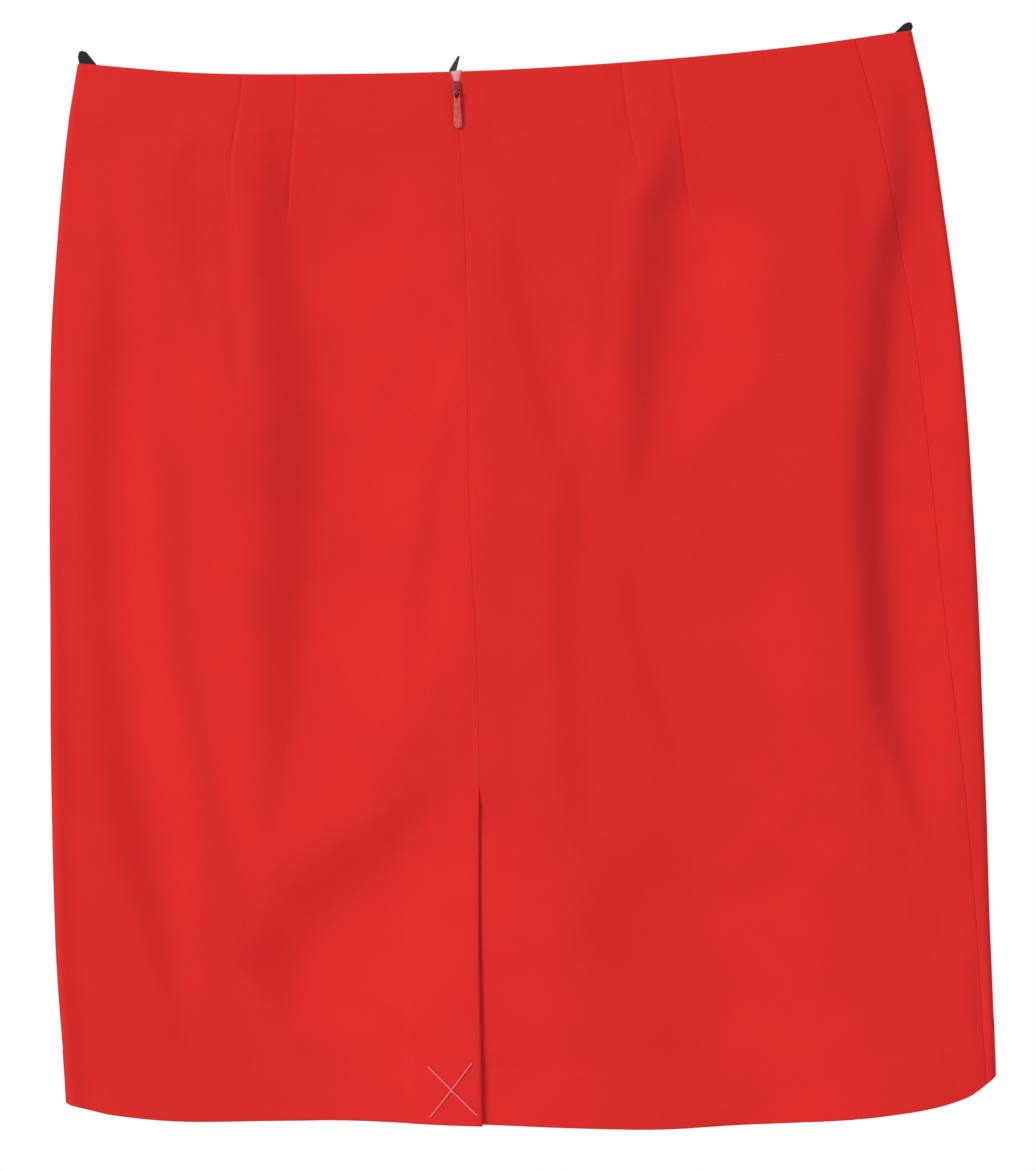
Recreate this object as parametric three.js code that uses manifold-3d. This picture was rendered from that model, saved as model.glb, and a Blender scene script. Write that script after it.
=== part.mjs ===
// A knee-length pencil skirt of red wool cloth, hanging by the two tape loops at its waist corners.
// Millimetres, +Z up. Its back faces -Y, and +X runs to the right of a viewer who looks at the back.
// The origin is the middle of the line between the tops of the two loops.
import * as THREE from "three";
import { mergeVertices } from "three/addons/utils/BufferGeometryUtils.js";
import Module from "manifold-3d";

const wasm = await Module();
wasm.setup();

// Driving dimensions
const CLOTH = 2; // wall: the cloth with its seam allowances and facings pressed to it
const HEM_WALL = 2.8; // wall of the turned-up hem
const HEM_UP = 31; // height of the turned-up hem
const SEAM_GAP = 0.3; // between two sewn edges
const WAIST_TO_HEM = 554; // down the centre back
const VENT_TOP = 384; // waist edge to the top of the back vent
const UNDERLAP = 40; // cloth that runs on under the vent's free edge
const LAP_GAP = 0.4; // between the vent's upper and lower layer
const FACING_DEEP = 31; // of the waist facing, which keeps the top edge smooth
const NOTCH_DEEP = 11; // the V above the closed zip
const NOTCH_HALF = 2.8;
const TAPE_WIDE = 16;
const TAPE_WALL = 1;
const TAPE_START = 2; // below the waist edge
const TAPE_LONG = 190;

// Level sections of the tube, which hangs almost flat. All are outer sizes: half width, the bulge of
// the back and of the front at the middle, and the radius of the folded sides.
const SECTIONS = [
  { z: 4, halfWidth: 215.5, back: 9, front: 9, side: 3 },
  { z: -6, halfWidth: 217, back: 10, front: 10, side: 3 },
  { z: -40, halfWidth: 224, back: 11.5, front: 11.5, side: 3.2 },
  { z: -90, halfWidth: 231.2, back: 13, front: 13, side: 3.4 },
  { z: -150, halfWidth: 238, back: 14, front: 14, side: 3.6 },
  { z: -210, halfWidth: 241.8, back: 15, front: 15, side: 3.8 },
  { z: -290, halfWidth: 245, back: 15.5, front: 15.5, side: 4 },
  { z: -380, halfWidth: 246.9, back: 16, front: 16, side: 4 },
  { z: -480, halfWidth: 247.8, back: 16, front: 16, side: 4 },
  { z: -575, halfWidth: 249.6, back: 16, front: 16, side: 4 },
];

// Height of the waist edge and of the hem. Across runs from -1 at the left side to 1 at the right.
const WAIST_EDGE = [
  { across: -1, back: -6.5, front: -6.5 },
  { across: -0.7, back: -14.2, front: -17 },
  { across: -0.35, back: -17.6, front: -23 },
  { across: 0, back: -18.4, front: -25 },
  { across: 0.35, back: -16.2, front: -22 },
  { across: 0.7, back: -11.4, front: -15.5 },
  { across: 1, back: -4.5, front: -4.5 },
];
const HEM_EDGE = [
  { across: -1, back: -556, front: -556 },
  { across: -0.9, back: -564, front: -562 },
  { across: -0.7, back: -571, front: -568 },
  { across: -0.3, back: -571.4, front: -571 },
  { across: -0.08, back: -572.7, front: -572.5 },
  { across: 0.24, back: -577.8, front: -576 },
  { across: 0.5, back: -579.6, front: -577 },
  { across: 0.8, back: -576.7, front: -574 },
  { across: 0.93, back: -570.6, front: -568 },
  { across: 1, back: -560, front: -560 },
];

// Centre back seam, which becomes the free edge of the vent below VENT_TOP.
const CENTRE_BACK = [
  { z: 0, x: -21.5 },
  { z: -50, x: -20 },
  { z: -100, x: -19 },
  { z: -150, x: -19.9 },
  { z: -242, x: -21.8 },
  { z: -335, x: -20.7 },
  { z: -388, x: -21.9 },
  { z: -458, x: -24.6 },
  { z: -577, x: -26.8 },
];

// The skirt hangs turned a little, so its right seam shows on the back and its left seam lies
// on the front. Right and left give each seam's distance from the outline.
const SIDE_SEAMS = [
  { z: 0, right: 31, left: 27 },
  { z: -90, right: 26.5, left: 24 },
  { z: -180, right: 23, left: 21 },
  { z: -300, right: 18.6, left: 17 },
  { z: -400, right: 11.5, left: 13 },
  { z: -480, right: 7.4, left: 10 },
  { z: -575, right: 5.5, left: 8 },
];

// Folds: each is a trough along a path of [x, z] points, deepest on the path, or a ridge where its
// depth is below zero. Left and right are the widths of its flanks on either side as the path is
// walked from its first point. It swells and dies out over these shares of the path. The first
// ones go through back and front alike.
const SHARED_FOLDS = [
  {
    depth: 8.4, left: 25, right: 52, swells: 0.26, diesOut: 0.22,
    path: [
      [207, -26], [213, -50], [217, -90], [212, -120], [208, -150], [206, -180], [202, -210],
      [200, -240], [201, -280], [202, -320], [205, -360], [210, -400], [222, -456],
    ],
  },
  {
    depth: 20, left: 110, right: 60, swells: 0.4, diesOut: 0.01,
    path: [[10, -606], [-60, -606], [-120, -602], [-180, -590], [-230, -576], [-300, -552]],
  },
  {
    depth: -20, left: 60, right: 140, swells: 0.5, diesOut: 0.01,
    path: [[-262, -280], [-262, -400], [-262, -510], [-262, -640]],
  },
];
const BACK_FOLDS = [
  {
    depth: 12, left: 44, right: 96, swells: 0.26, diesOut: 0.35,
    path: [
      [-117, -10], [-110, -56], [-104, -100], [-97, -155], [-95, -200], [-97, -240], [-102, -285],
      [-109, -330], [-120, -380], [-134, -432],
    ],
  },
  {
    depth: 11, left: 50, right: 90, swells: 0.6, diesOut: 0.22,
    path: [
      [-24, -388], [-36, -396], [-49, -409], [-66, -434], [-92, -456], [-110, -476], [-118, -498],
      [-124, -524],
    ],
  },
  {
    depth: 1.2, left: 18, right: 20, swells: 0.4, diesOut: 0.4,
    path: [[-162, -372], [-153, -415], [-141, -460]],
  },
  {
    depth: 5.8, left: 28, right: 34, swells: 0.3, diesOut: 0.3,
    path: [
      [-204, -40], [-198, -110], [-200, -160], [-203, -200], [-206, -240], [-206, -300],
      [-202, -360], [-194, -420], [-186, -480], [-180, -560],
    ],
  },
  {
    depth: 2.4, left: 20, right: 28, swells: 0.3, diesOut: 0.4,
    path: [[-158, -44], [-155, -95], [-151, -155]],
  },
  {
    depth: 3, left: 22, right: 34, swells: 0.3, diesOut: 0.4,
    path: [[-178, -120], [-173, -210], [-170, -290], [-163, -350], [-156, -410]],
  },
  {
    depth: 1.8, left: 18, right: 26, swells: 0.3, diesOut: 0.3,
    path: [[-26, -185], [-30, -222], [-38, -262], [-47, -305], [-52, -350]],
  },
  {
    depth: 2.4, left: 20, right: 36, swells: 0.3, diesOut: 0.3,
    path: [[4, -82], [13, -125], [21, -165], [28, -205], [36, -250]],
  },
  {
    depth: 3.4, left: 26, right: 54, swells: 0.3, diesOut: 0.3,
    path: [[44, -196], [40, -235], [38, -280], [37, -320], [37, -360], [38, -410], [42, -456]],
  },
  {
    depth: 9.6, left: 36, right: 54, swells: 0.3, diesOut: 0.4,
    path: [[96, -46], [97, -78], [95, -108], [91, -142], [86, -175], [77, -210], [62, -255]],
  },
  {
    depth: 1.2, left: 16, right: 50, swells: 0.3, diesOut: 0.3,
    path: [[62, -262], [69, -310], [78, -352], [90, -404]],
  },
  {
    depth: -3, left: 60, right: 26, swells: 0.3, diesOut: 0.4,
    path: [[178, -50], [174, -130], [172, -220], [173, -320], [178, -400], [186, -480]],
  },
  {
    depth: 6, left: 60, right: 120, swells: 0.35, diesOut: 0.4,
    path: [[80, -200], [84, -280], [90, -370], [100, -460], [112, -540]],
  },
  {
    depth: 8, left: 60, right: 110, swells: 0.4, diesOut: 0.2,
    path: [[56, -396], [62, -440], [72, -480], [92, -520], [114, -570], [130, -620]],
  },
];
const FRONT_FOLDS = [
  {
    depth: 6, left: 40, right: 70, swells: 0.3, diesOut: 0.35,
    path: [[-120, -50], [-116, -150], [-120, -240], [-112, -330], [-100, -410]],
  },
  {
    depth: 4, left: 26, right: 44, swells: 0.3, diesOut: 0.3,
    path: [[-56, -110], [-50, -190], [-54, -280], [-46, -360]],
  },
  {
    depth: 3.5, left: 30, right: 40, swells: 0.3, diesOut: 0.3,
    path: [[12, -180], [18, -280], [14, -380], [6, -480]],
  },
  {
    depth: 6.5, left: 60, right: 36, swells: 0.3, diesOut: 0.35,
    path: [[96, -40], [100, -160], [94, -250], [100, -340], [116, -430]],
  },
  {
    depth: 4, left: 40, right: 30, swells: 0.3, diesOut: 0.3,
    path: [[176, -60], [180, -160], [178, -250], [182, -340], [190, -410]],
  },
  {
    depth: 4.5, left: 50, right: 60, swells: 0.4, diesOut: 0.4,
    path: [[-150, -430], [-110, -474], [-50, -496], [10, -490]],
  },
  {
    depth: 4, left: 44, right: 50, swells: 0.4, diesOut: 0.4,
    path: [[50, -486], [100, -508], [150, -486], [186, -440]],
  },
  {
    depth: 3, left: 24, right: 34, swells: 0.3, diesOut: 0.3,
    path: [[-206, -100], [-200, -220], [-202, -320], [-196, -420]],
  },
];
const NARROW = 0.35; // a fold's width at its ends, as a share of its full width
const SIDE_CALM = 0.03; // share of the half width at the sides that stays free of folds
const PATH_STEPS = 36;

// How finely the walls are drawn.
const ROWS_TO_VENT = 14;
const ROWS_TO_HEM = 6;
const TAPE_ROWS = 9;
const WRAP_COLUMNS = 3;
const TAPE_COLUMNS = 2;
const LAP_COLUMNS = 3; // of the underlap beside the tape
const LEFT_COLUMNS = 19;
const RIGHT_COLUMNS = 24;
const FRONT_COLUMNS = 30;

const CLOTH_FINISH = { color: 0xd2262b, roughness: 0.85, metalness: 0 };
const TAPE_FINISH = { color: 0xd98a8f, roughness: 0.8, metalness: 0 };
const METAL_FINISH = { color: 0x6b1d20, roughness: 0.45, metalness: 0.6 };
const PULL_FINISH = { color: 0xc8484a, roughness: 0.5, metalness: 0.3 };
const HOOK_FINISH = { color: 0x3a3034, roughness: 0.4, metalness: 0.8 };
const LOOP_FINISH = { color: 0x18161b, roughness: 0.8, metalness: 0 };

const clamp01 = (t) => Math.min(1, Math.max(0, t));
const ease = (t) => clamp01(t) ** 2 * (3 - 2 * clamp01(t));

// A smooth curve through one column of a table, read at a value of its key column.
function read(table, key, column, at) {
  const rising = table[0][key] < table[table.length - 1][key];
  const rows = rising ? table : [...table].reverse();
  const last = rows.length - 1;
  const x = Math.min(rows[last][key], Math.max(rows[0][key], at));
  let i = 0;
  while (i < last - 1 && x > rows[i + 1][key]) i += 1;
  const slope = (j) => {
    const a = rows[Math.max(0, j - 1)];
    const b = rows[Math.min(last, j + 1)];
    return (b[column] - a[column]) / (b[key] - a[key]);
  };
  const step = rows[i + 1][key] - rows[i][key];
  const t = (x - rows[i][key]) / step;
  const [p, q] = [rows[i][column], rows[i + 1][column]];
  const [m, n] = [slope(i) * step, slope(i + 1) * step];
  return (
    (2 * t ** 3 - 3 * t ** 2 + 1) * p + (t ** 3 - 2 * t ** 2 + t) * m +
    (3 * t ** 2 - 2 * t ** 3) * q + (t ** 3 - t ** 2) * n
  );
}

// A place round the tube is a number from 0 to 4: 0 is the left side, 1 the middle of the back,
// 2 the right side and 3 the middle of the front. It goes evenly across, and closes up at the sides.
const CLOSE_UP = 0.15;
const EVEN = 1 - CLOSE_UP / 2;

function acrossOf(place) {
  const turn = ((place % 4) + 4) % 4;
  const u = turn <= 2 ? turn - 1 : 3 - turn;
  const toSide = 1 - Math.abs(u);
  if (toSide > CLOSE_UP) return u / EVEN;
  return Math.sign(u) * (1 - toSide ** 2 / (2 * CLOSE_UP * EVEN));
}

function placeOf(x, z, onFront) {
  const across = Math.min(1, Math.max(-1, x / read(SECTIONS, "z", "halfWidth", z)));
  const isEven = Math.abs(across) < (1 - CLOSE_UP) / EVEN;
  const u = isEven
    ? across * EVEN
    : Math.sign(across) * (1 - Math.sqrt(2 * CLOSE_UP * EVEN * (1 - Math.abs(across))));
  return onFront ? 3 - u : 1 + u;
}

const isFront = (place) => ((place % 4) + 4) % 4 > 2;

// The height at a place, a distance down from the waist edge as it is at the centre back.
function heightAt(place, down) {
  const face = isFront(place) ? "front" : "back";
  const across = acrossOf(place);
  const top = read(WAIST_EDGE, "across", face, across);
  const bottom = read(HEM_EDGE, "across", face, across);
  return top + ((bottom - top) * down) / WAIST_TO_HEM;
}

function bareSection(place, z) {
  const front = isFront(place);
  const across = acrossOf(place);
  const halfWidth = read(SECTIONS, "z", "halfWidth", z);
  const depth = read(SECTIONS, "z", front ? "front" : "back", z);
  const radius = read(SECTIONS, "z", "side", z);
  const toSide = Math.min(1, (halfWidth * (1 - Math.abs(across))) / radius);
  const y = depth * (1 - across ** 2) + radius * Math.sqrt(1 - (1 - toSide) ** 2);
  return new THREE.Vector2(halfWidth * across, front ? y : -y);
}

// Fold paths as evenly spaced points.
function drawPath(fold) {
  const points = fold.path.map(([x, z]) => new THREE.Vector2(x, z));
  return { ...fold, points: new THREE.SplineCurve(points).getPoints(PATH_STEPS) };
}
const sharedFolds = SHARED_FOLDS.map(drawPath);
const backFolds = BACK_FOLDS.map(drawPath);
const frontFolds = FRONT_FOLDS.map(drawPath);

function foldDepth(folds, x, z) {
  let sum = 0;
  for (const { depth, left, right, swells, diesOut, points } of folds) {
    let near = Infinity;
    let side = 0;
    let along = 0;
    for (let i = 0; i < PATH_STEPS; i += 1) {
      const [a, b] = [points[i], points[i + 1]];
      const [dx, dz] = [b.x - a.x, b.y - a.y];
      const t = clamp01(((x - a.x) * dx + (z - a.y) * dz) / (dx * dx + dz * dz));
      const [ox, oz] = [x - a.x - t * dx, z - a.y - t * dz];
      const away = Math.hypot(ox, oz);
      if (away < near) {
        near = away;
        side = dx * oz - dz * ox;
        along = (i + t) / PATH_STEPS;
      }
    }
    const taper = ease(along / swells) * ease((1 - along) / diesOut);
    const width = (side > 0 ? right : left) * (NARROW + (1 - NARROW) * taper);
    if (near < width) sum += depth * taper * (1 - (near / width) ** 2) ** 3;
  }
  return sum;
}

// The outer face of the cloth. Lap is how far the layer under the vent's free edge is set in.
const STEP = 0.004;

function outerPoint(place, down, lap) {
  const z = heightAt(place, down);
  const at = bareSection(place, z);
  const ahead = bareSection(place + STEP, z);
  const behind = bareSection(place - STEP, z);
  const outward = new THREE.Vector2(ahead.y - behind.y, behind.x - ahead.x).normalize();
  const calm = ease((1 - Math.abs(acrossOf(place))) / SIDE_CALM);
  const inward = calm * foldDepth(isFront(place) ? frontFolds : backFolds, at.x, z) + lap(at.x, z, down);
  const toFront = foldDepth(sharedFolds, at.x, z);
  return new THREE.Vector3(at.x - outward.x * inward, at.y - outward.y * inward + toFront, z);
}

function outwardAt(place, down, lap) {
  const round = outerPoint(place + STEP, down, lap).sub(outerPoint(place - STEP, down, lap));
  const drop = outerPoint(place, down + 1, lap).sub(outerPoint(place, down - 1, lap));
  return round.cross(drop).negate().normalize();
}

const HEM_EASE = 8; // over which the wall thickens towards the hem
const wallAt = (down) => {
  const intoHem = (down - (WAIST_TO_HEM - HEM_UP - HEM_EASE)) / HEM_EASE;
  return CLOTH + (HEM_WALL - CLOTH) * ease(intoHem);
};
const flat = () => 0;

// Below the vent's top the right half lies under the left one, and comes level again beside it.
const LAP_RUN_OUT = 46;
const LAP_START = 14;
function ventLap(x, z, down) {
  const beside = 1 - ease((x - read(CENTRE_BACK, "z", "x", z)) / LAP_RUN_OUT);
  const below = clamp01((down - VENT_TOP + LAP_START) / LAP_START);
  return (wallAt(down) + LAP_GAP) * beside * below;
}

// A closed wall over a grid of columns and rows. A column gives its place at a distance down,
// and a cell that has(column, row) refuses is left out.
function clothWall(columns, rows, { from = () => 0, to = wallAt, lap = flat, has = () => true }) {
  const wide = columns.length;
  const position = [];
  for (const depth of [from, to]) {
    for (const down of rows) {
      for (const column of columns) {
        const place = column(down);
        const outward = outwardAt(place, down, lap);
        const point = outerPoint(place, down, lap).addScaledVector(outward, -depth(down));
        position.push(point.x, point.y, point.z);
      }
    }
  }
  const layer = wide * rows.length;
  const outer = (c, r) => r * wide + c;
  const isCell = (c, r) => c >= 0 && r >= 0 && c < wide - 1 && r < rows.length - 1 && has(c, r);
  const index = [];
  const quad = (a, b, c, d) => index.push(a, b, c, a, c, d);
  for (let r = 0; r < rows.length - 1; r += 1) {
    for (let c = 0; c < wide - 1; c += 1) {
      if (!isCell(c, r)) continue;
      const [a, b, e, d] = [outer(c, r), outer(c, r + 1), outer(c + 1, r + 1), outer(c + 1, r)];
      quad(a, b, e, d);
      quad(a + layer, d + layer, e + layer, b + layer);
      if (!isCell(c - 1, r)) quad(a, a + layer, b + layer, b);
      if (!isCell(c, r + 1)) quad(b, b + layer, e + layer, e);
      if (!isCell(c + 1, r)) quad(d, e, e + layer, d + layer);
      if (!isCell(c, r - 1)) quad(d, d + layer, a + layer, a);
    }
  }
  const used = [...new Set(index)].sort((p, q) => p - q);
  const place = new Map(used.map((old, now) => [old, now]));
  const geometry = new THREE.BufferGeometry();
  const kept = used.flatMap((i) => position.slice(3 * i, 3 * i + 3));
  geometry.setAttribute("position", new THREE.Float32BufferAttribute(kept, 3));
  geometry.setIndex(index.map((i) => place.get(i)));
  geometry.computeVertexNormals();
  return geometry;
}

// Even steps from one value to another, without the first.
const evenSteps = (from, to, count) =>
  Array.from({ length: count }, (_, i) => from + ((to - from) * (i + 1)) / count);

// Columns that fill the stretch between two edges, each edge giving its place at a distance down.
const columnsBetween = (edgeA, edgeB, count) =>
  evenSteps(0, 1, count).map((t) => (down) => edgeA(down) * (1 - t) + edgeB(down) * t);

// Edges and lines on the cloth, as places at a distance down.
const notchHalf = (down) => SEAM_GAP / 2 + NOTCH_HALF * clamp01(1 - down / NOTCH_DEEP);
const CENTRE_PLACE = 0.91; // of the centre back seam, a little to the left
const backHeight = (down) => heightAt(CENTRE_PLACE, down);

function besideCentreBack(offset) {
  return (down) => {
    const z = backHeight(down);
    return placeOf(read(CENTRE_BACK, "z", "x", z) + offset(down), z, false);
  };
}
const leftEdge = besideCentreBack((down) => -notchHalf(down));
const rightEdge = besideCentreBack(notchHalf);
const leftTapeEdge = besideCentreBack(() => -TAPE_WIDE);
const rightTapeEdge = besideCentreBack(() => TAPE_WIDE);
const underlapEdge = besideCentreBack(() => -UNDERLAP);

function sideSeam(column, sign, onFront, gap) {
  return (down) => {
    const z = heightAt(sign > 0 ? 2 : 0, down);
    const halfWidth = read(SECTIONS, "z", "halfWidth", z);
    return placeOf(sign * (halfWidth - read(SIDE_SEAMS, "z", column, z) + gap), z, onFront);
  };
}
const rightSeamBack = sideSeam("right", 1, false, -SEAM_GAP / 2);
const rightSeamFront = sideSeam("right", 1, false, SEAM_GAP / 2);
const leftSeamFront = sideSeam("left", -1, true, -SEAM_GAP / 2);
const leftSeamBack = (down) => sideSeam("left", -1, true, SEAM_GAP / 2)(down) - 4;

const wallRows = [
  0,
  NOTCH_DEEP,
  FACING_DEEP,
  ...evenSteps(FACING_DEEP, VENT_TOP, ROWS_TO_VENT),
  ...evenSteps(VENT_TOP, WAIST_TO_HEM - HEM_UP, ROWS_TO_HEM),
  WAIST_TO_HEM - HEM_UP / 2,
  WAIST_TO_HEM,
];

function backPanelLeft() {
  const side = () => 0;
  return clothWall(
    [
      leftSeamBack,
      ...columnsBetween(leftSeamBack, side, WRAP_COLUMNS),
      ...columnsBetween(side, underlapEdge, LEFT_COLUMNS),
      ...columnsBetween(underlapEdge, leftTapeEdge, LAP_COLUMNS),
      ...columnsBetween(leftTapeEdge, leftEdge, TAPE_COLUMNS),
    ],
    wallRows,
    {},
  );
}

function backPanelRight() {
  const lapColumns = LAP_COLUMNS + TAPE_COLUMNS;
  const ventRow = wallRows.indexOf(VENT_TOP);
  return clothWall(
    [
      underlapEdge,
      ...columnsBetween(underlapEdge, leftTapeEdge, LAP_COLUMNS),
      ...columnsBetween(leftTapeEdge, rightEdge, TAPE_COLUMNS),
      ...columnsBetween(rightEdge, rightTapeEdge, TAPE_COLUMNS),
      ...columnsBetween(rightTapeEdge, rightSeamBack, RIGHT_COLUMNS),
    ],
    wallRows,
    { lap: ventLap, has: (column, row) => column >= lapColumns || row >= ventRow },
  );
}

function frontPanel() {
  const side = () => 2;
  return clothWall(
    [
      rightSeamFront,
      ...columnsBetween(rightSeamFront, side, WRAP_COLUMNS),
      ...columnsBetween(side, leftSeamFront, FRONT_COLUMNS),
    ],
    wallRows,
    {},
  );
}

// Zip tapes lie on the inner face beside the centre back seam.
function zipTape(edge, farEdge) {
  const rows = [TAPE_START, ...wallRows.slice(1, TAPE_ROWS), TAPE_LONG];
  const columns = [edge, ...columnsBetween(edge, farEdge, TAPE_COLUMNS)];
  return clothWall(columns, rows, {
    from: () => CLOTH + SEAM_GAP,
    to: () => CLOTH + SEAM_GAP + TAPE_WALL,
  });
}

function toSolid(geometry) {
  const bare = geometry.index ? geometry.toNonIndexed() : geometry.clone();
  bare.deleteAttribute("normal");
  bare.deleteAttribute("uv");
  const merged = mergeVertices(bare, 1e-4);
  const vertProperties = new Float32Array(merged.attributes.position.array);
  const triVerts = new Uint32Array(merged.index.array);
  return new wasm.Manifold(new wasm.Mesh({ numProp: 3, vertProperties, triVerts }));
}

function toGeometry(solid) {
  const mesh = solid.getMesh();
  const geometry = new THREE.BufferGeometry();
  geometry.setAttribute("position", new THREE.Float32BufferAttribute(mesh.vertProperties, 3));
  geometry.setIndex(Array.from(mesh.triVerts));
  geometry.computeVertexNormals();
  return geometry;
}

const joined = (...geometries) =>
  toGeometry(geometries.map(toSolid).reduce((whole, piece) => whole.add(piece)));

// An upright plate: an outline in X and Z, with a thickness from y0 to y1. Points of the outline that
// fall together, where two curves meet, are dropped.
const SAME_POINT = 0.01;
const ARC_STEPS = 6;

function plate(outline, y0, y1, hole) {
  const drawn = outline instanceof THREE.Shape ? outline.getPoints(ARC_STEPS) : outline;
  const apart = (point, i, all) => point.distanceTo(all[(i + 1) % all.length]) > SAME_POINT;
  const shape = new THREE.Shape(drawn.filter(apart));
  if (hole) shape.holes.push(hole);
  const geometry = new THREE.ExtrudeGeometry(shape, { depth: y1 - y0, bevelEnabled: false });
  return geometry.rotateX(Math.PI / 2).translate(0, y1, 0);
}

function box(x0, x1, y0, y1, z0, z1) {
  const geometry = new THREE.BoxGeometry(x1 - x0, y1 - y0, z1 - z0);
  return geometry.translate((x0 + x1) / 2, (y0 + y1) / 2, (z0 + z1) / 2);
}

function roundedOutline(halfWide, low, high, radius) {
  const shape = new THREE.Shape();
  shape.absarc(halfWide - radius, low + radius, radius, -Math.PI / 2, 0);
  shape.absarc(halfWide - radius, high - radius, radius, 0, Math.PI / 2);
  shape.absarc(radius - halfWide, high - radius, radius, Math.PI / 2, Math.PI);
  shape.absarc(radius - halfWide, low + radius, radius, Math.PI, 1.5 * Math.PI);
  return shape;
}

// The zip's own frame: its origin is on the outer face of the cloth at the pull tab's pivot, +Z runs
// up the cloth and -Y points out of it.
const PIVOT_DOWN = 11;
const seamPoint = (down) => outerPoint(besideCentreBack(() => 0)(down), down, flat);
const zipFoot = seamPoint(PIVOT_DOWN);
const ZIP_STRETCH = { from: 3, to: 33 }; // of the seam, which gives the zip its lean
const zipLean = (() => {
  const along = seamPoint(ZIP_STRETCH.from).sub(seamPoint(ZIP_STRETCH.to));
  return Math.atan2(along.y, along.z);
})();

const SLIDER = { halfWide: 2.3, low: -2.2, high: 5.8, front: 1.2, back: 1, corner: 1.4 };
const NECK = { halfWide: 0.5, low: 3.2, high: 5.4 };
const BRIDGE = { halfWide: 0.6, inner: 1.05, outer: 1.75 };
const PULL = {
  bar: 0.5, // half the height of the bar under the bridge
  eyeHalf: 1,
  eyeLow: -3.4,
  ringHalf: 1.6,
  shoulder: -4,
  belly: -9.5,
  length: 18.5,
  thick: 1,
  halfWide: 2.15,
};
const PIVOT_OUT = SEAM_GAP + SLIDER.front + BRIDGE.inner;
const PULL_LEAN = THREE.MathUtils.degToRad(4);
const FUSED = 0.4; // how far the slider's blocks run into each other

function zipSlider() {
  const face = -SEAM_GAP - SLIDER.front;
  const inside = CLOTH + 2 * SEAM_GAP + TAPE_WALL;
  const outline = () => roundedOutline(SLIDER.halfWide, SLIDER.low, SLIDER.high, SLIDER.corner);
  const top = -PIVOT_OUT - BRIDGE.inner;
  const { halfWide, inner, outer } = BRIDGE;
  return joined(
    plate(outline(), face, -SEAM_GAP),
    plate(outline(), inside, inside + SLIDER.back),
    box(-NECK.halfWide, NECK.halfWide, -SEAM_GAP - FUSED, inside + FUSED, NECK.low, NECK.high),
    box(-halfWide, halfWide, top - FUSED, face + FUSED, inner, outer),
    box(-halfWide, halfWide, top - FUSED, face + FUSED, -outer, -inner),
    box(-halfWide, halfWide, top - (outer - inner), top, -outer, outer),
  );
}

// The pull tab in a frame on its pivot, hanging down: a bar under the bridge, an eye and a drop.
function zipPull() {
  const { bar, eyeHalf, eyeLow, ringHalf, shoulder, belly, length, thick, halfWide } = PULL;
  const waist = shoulder - (shoulder - belly) / 3;
  const shape = new THREE.Shape();
  shape.moveTo(ringHalf, bar);
  shape.lineTo(-ringHalf, bar);
  shape.lineTo(-ringHalf, shoulder);
  shape.bezierCurveTo(-ringHalf, waist, -halfWide, belly, -halfWide, halfWide - length);
  shape.absarc(0, halfWide - length, halfWide, Math.PI, 2 * Math.PI);
  shape.bezierCurveTo(halfWide, belly, ringHalf, waist, ringHalf, shoulder);
  const eye = new THREE.Path([
    new THREE.Vector2(eyeHalf, -bar),
    new THREE.Vector2(eyeHalf, eyeLow),
    new THREE.Vector2(-eyeHalf, eyeLow),
    new THREE.Vector2(-eyeHalf, -bar),
  ]);
  return plate(shape, -thick / 2, thick / 2, eye);
}

// Hook and eye at the top of the zip, sewn to the tapes. The hook's tongue stands above the edge.
const HOOK_THICK = 1;
const hookFace = CLOTH + 2 * SEAM_GAP + TAPE_WALL;
const points = (list) => list.map(([x, z]) => new THREE.Vector2(x, z));

function waistHook() {
  const tongue = points([
    [-9, 3.4], [-3, 3.4], [-1.2, 8.6], [-0.2, 10.6], [2.2, 19.2], [1.2, 19.4], [-3.4, 12.6],
    [-4.2, 9], [-9, 8.4],
  ]);
  return plate(tongue, hookFace, hookFace + HOOK_THICK);
}

function waistEye() {
  const outline = points([[3.2, 3.4], [10, 3.4], [10, 8.6], [3.2, 8.6]]);
  const hole = new THREE.Path(points([[4.4, 4.6], [4.4, 7.4], [8.6, 7.4], [8.6, 4.6]]));
  return plate(outline, hookFace, hookFace + HOOK_THICK, hole);
}

// Hanging loops: black tape folded double and sewn inside the waist corners, tops just showing.
const LOOP_HALF = 0.9;
const LOOP_DOWN = 24; // how far it runs down inside the corner, measured from its top
function hangerLoop(sign, profile) {
  const outline = points(profile.map(([x, z]) => [sign * x, z]));
  return plate(sign > 0 ? outline : outline.reverse(), -LOOP_HALF, LOOP_HALF);
}
const LEFT_LOOP = [
  [213.4, -LOOP_DOWN], [213.4, -6.2], [216.2, -5.9], [216.4, -1.6], [214.8, 0], [212.4, -0.8],
  [207.6, -7.2], [206.8, -LOOP_DOWN],
];
const RIGHT_LOOP = [
  [213.4, -LOOP_DOWN], [213.4, -4.2], [216.2, -3.9], [216.4, -1.8], [214.2, 0], [211.6, -1.2],
  [206.4, -6.4], [205.8, -LOOP_DOWN],
];

const skirt = new THREE.Group();

function add(name, geometry, finish, parent = skirt) {
  const mesh = new THREE.Mesh(geometry, new THREE.MeshStandardMaterial(finish));
  mesh.name = name;
  parent.add(mesh);
  return mesh;
}

add("front_panel", frontPanel(), CLOTH_FINISH);
add("back_panel_left", backPanelLeft(), CLOTH_FINISH);
add("back_panel_right", backPanelRight(), CLOTH_FINISH);
add("zip_tape_left", zipTape(leftTapeEdge, leftEdge), TAPE_FINISH);
add("zip_tape_right", zipTape(rightEdge, rightTapeEdge), TAPE_FINISH);

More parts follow.
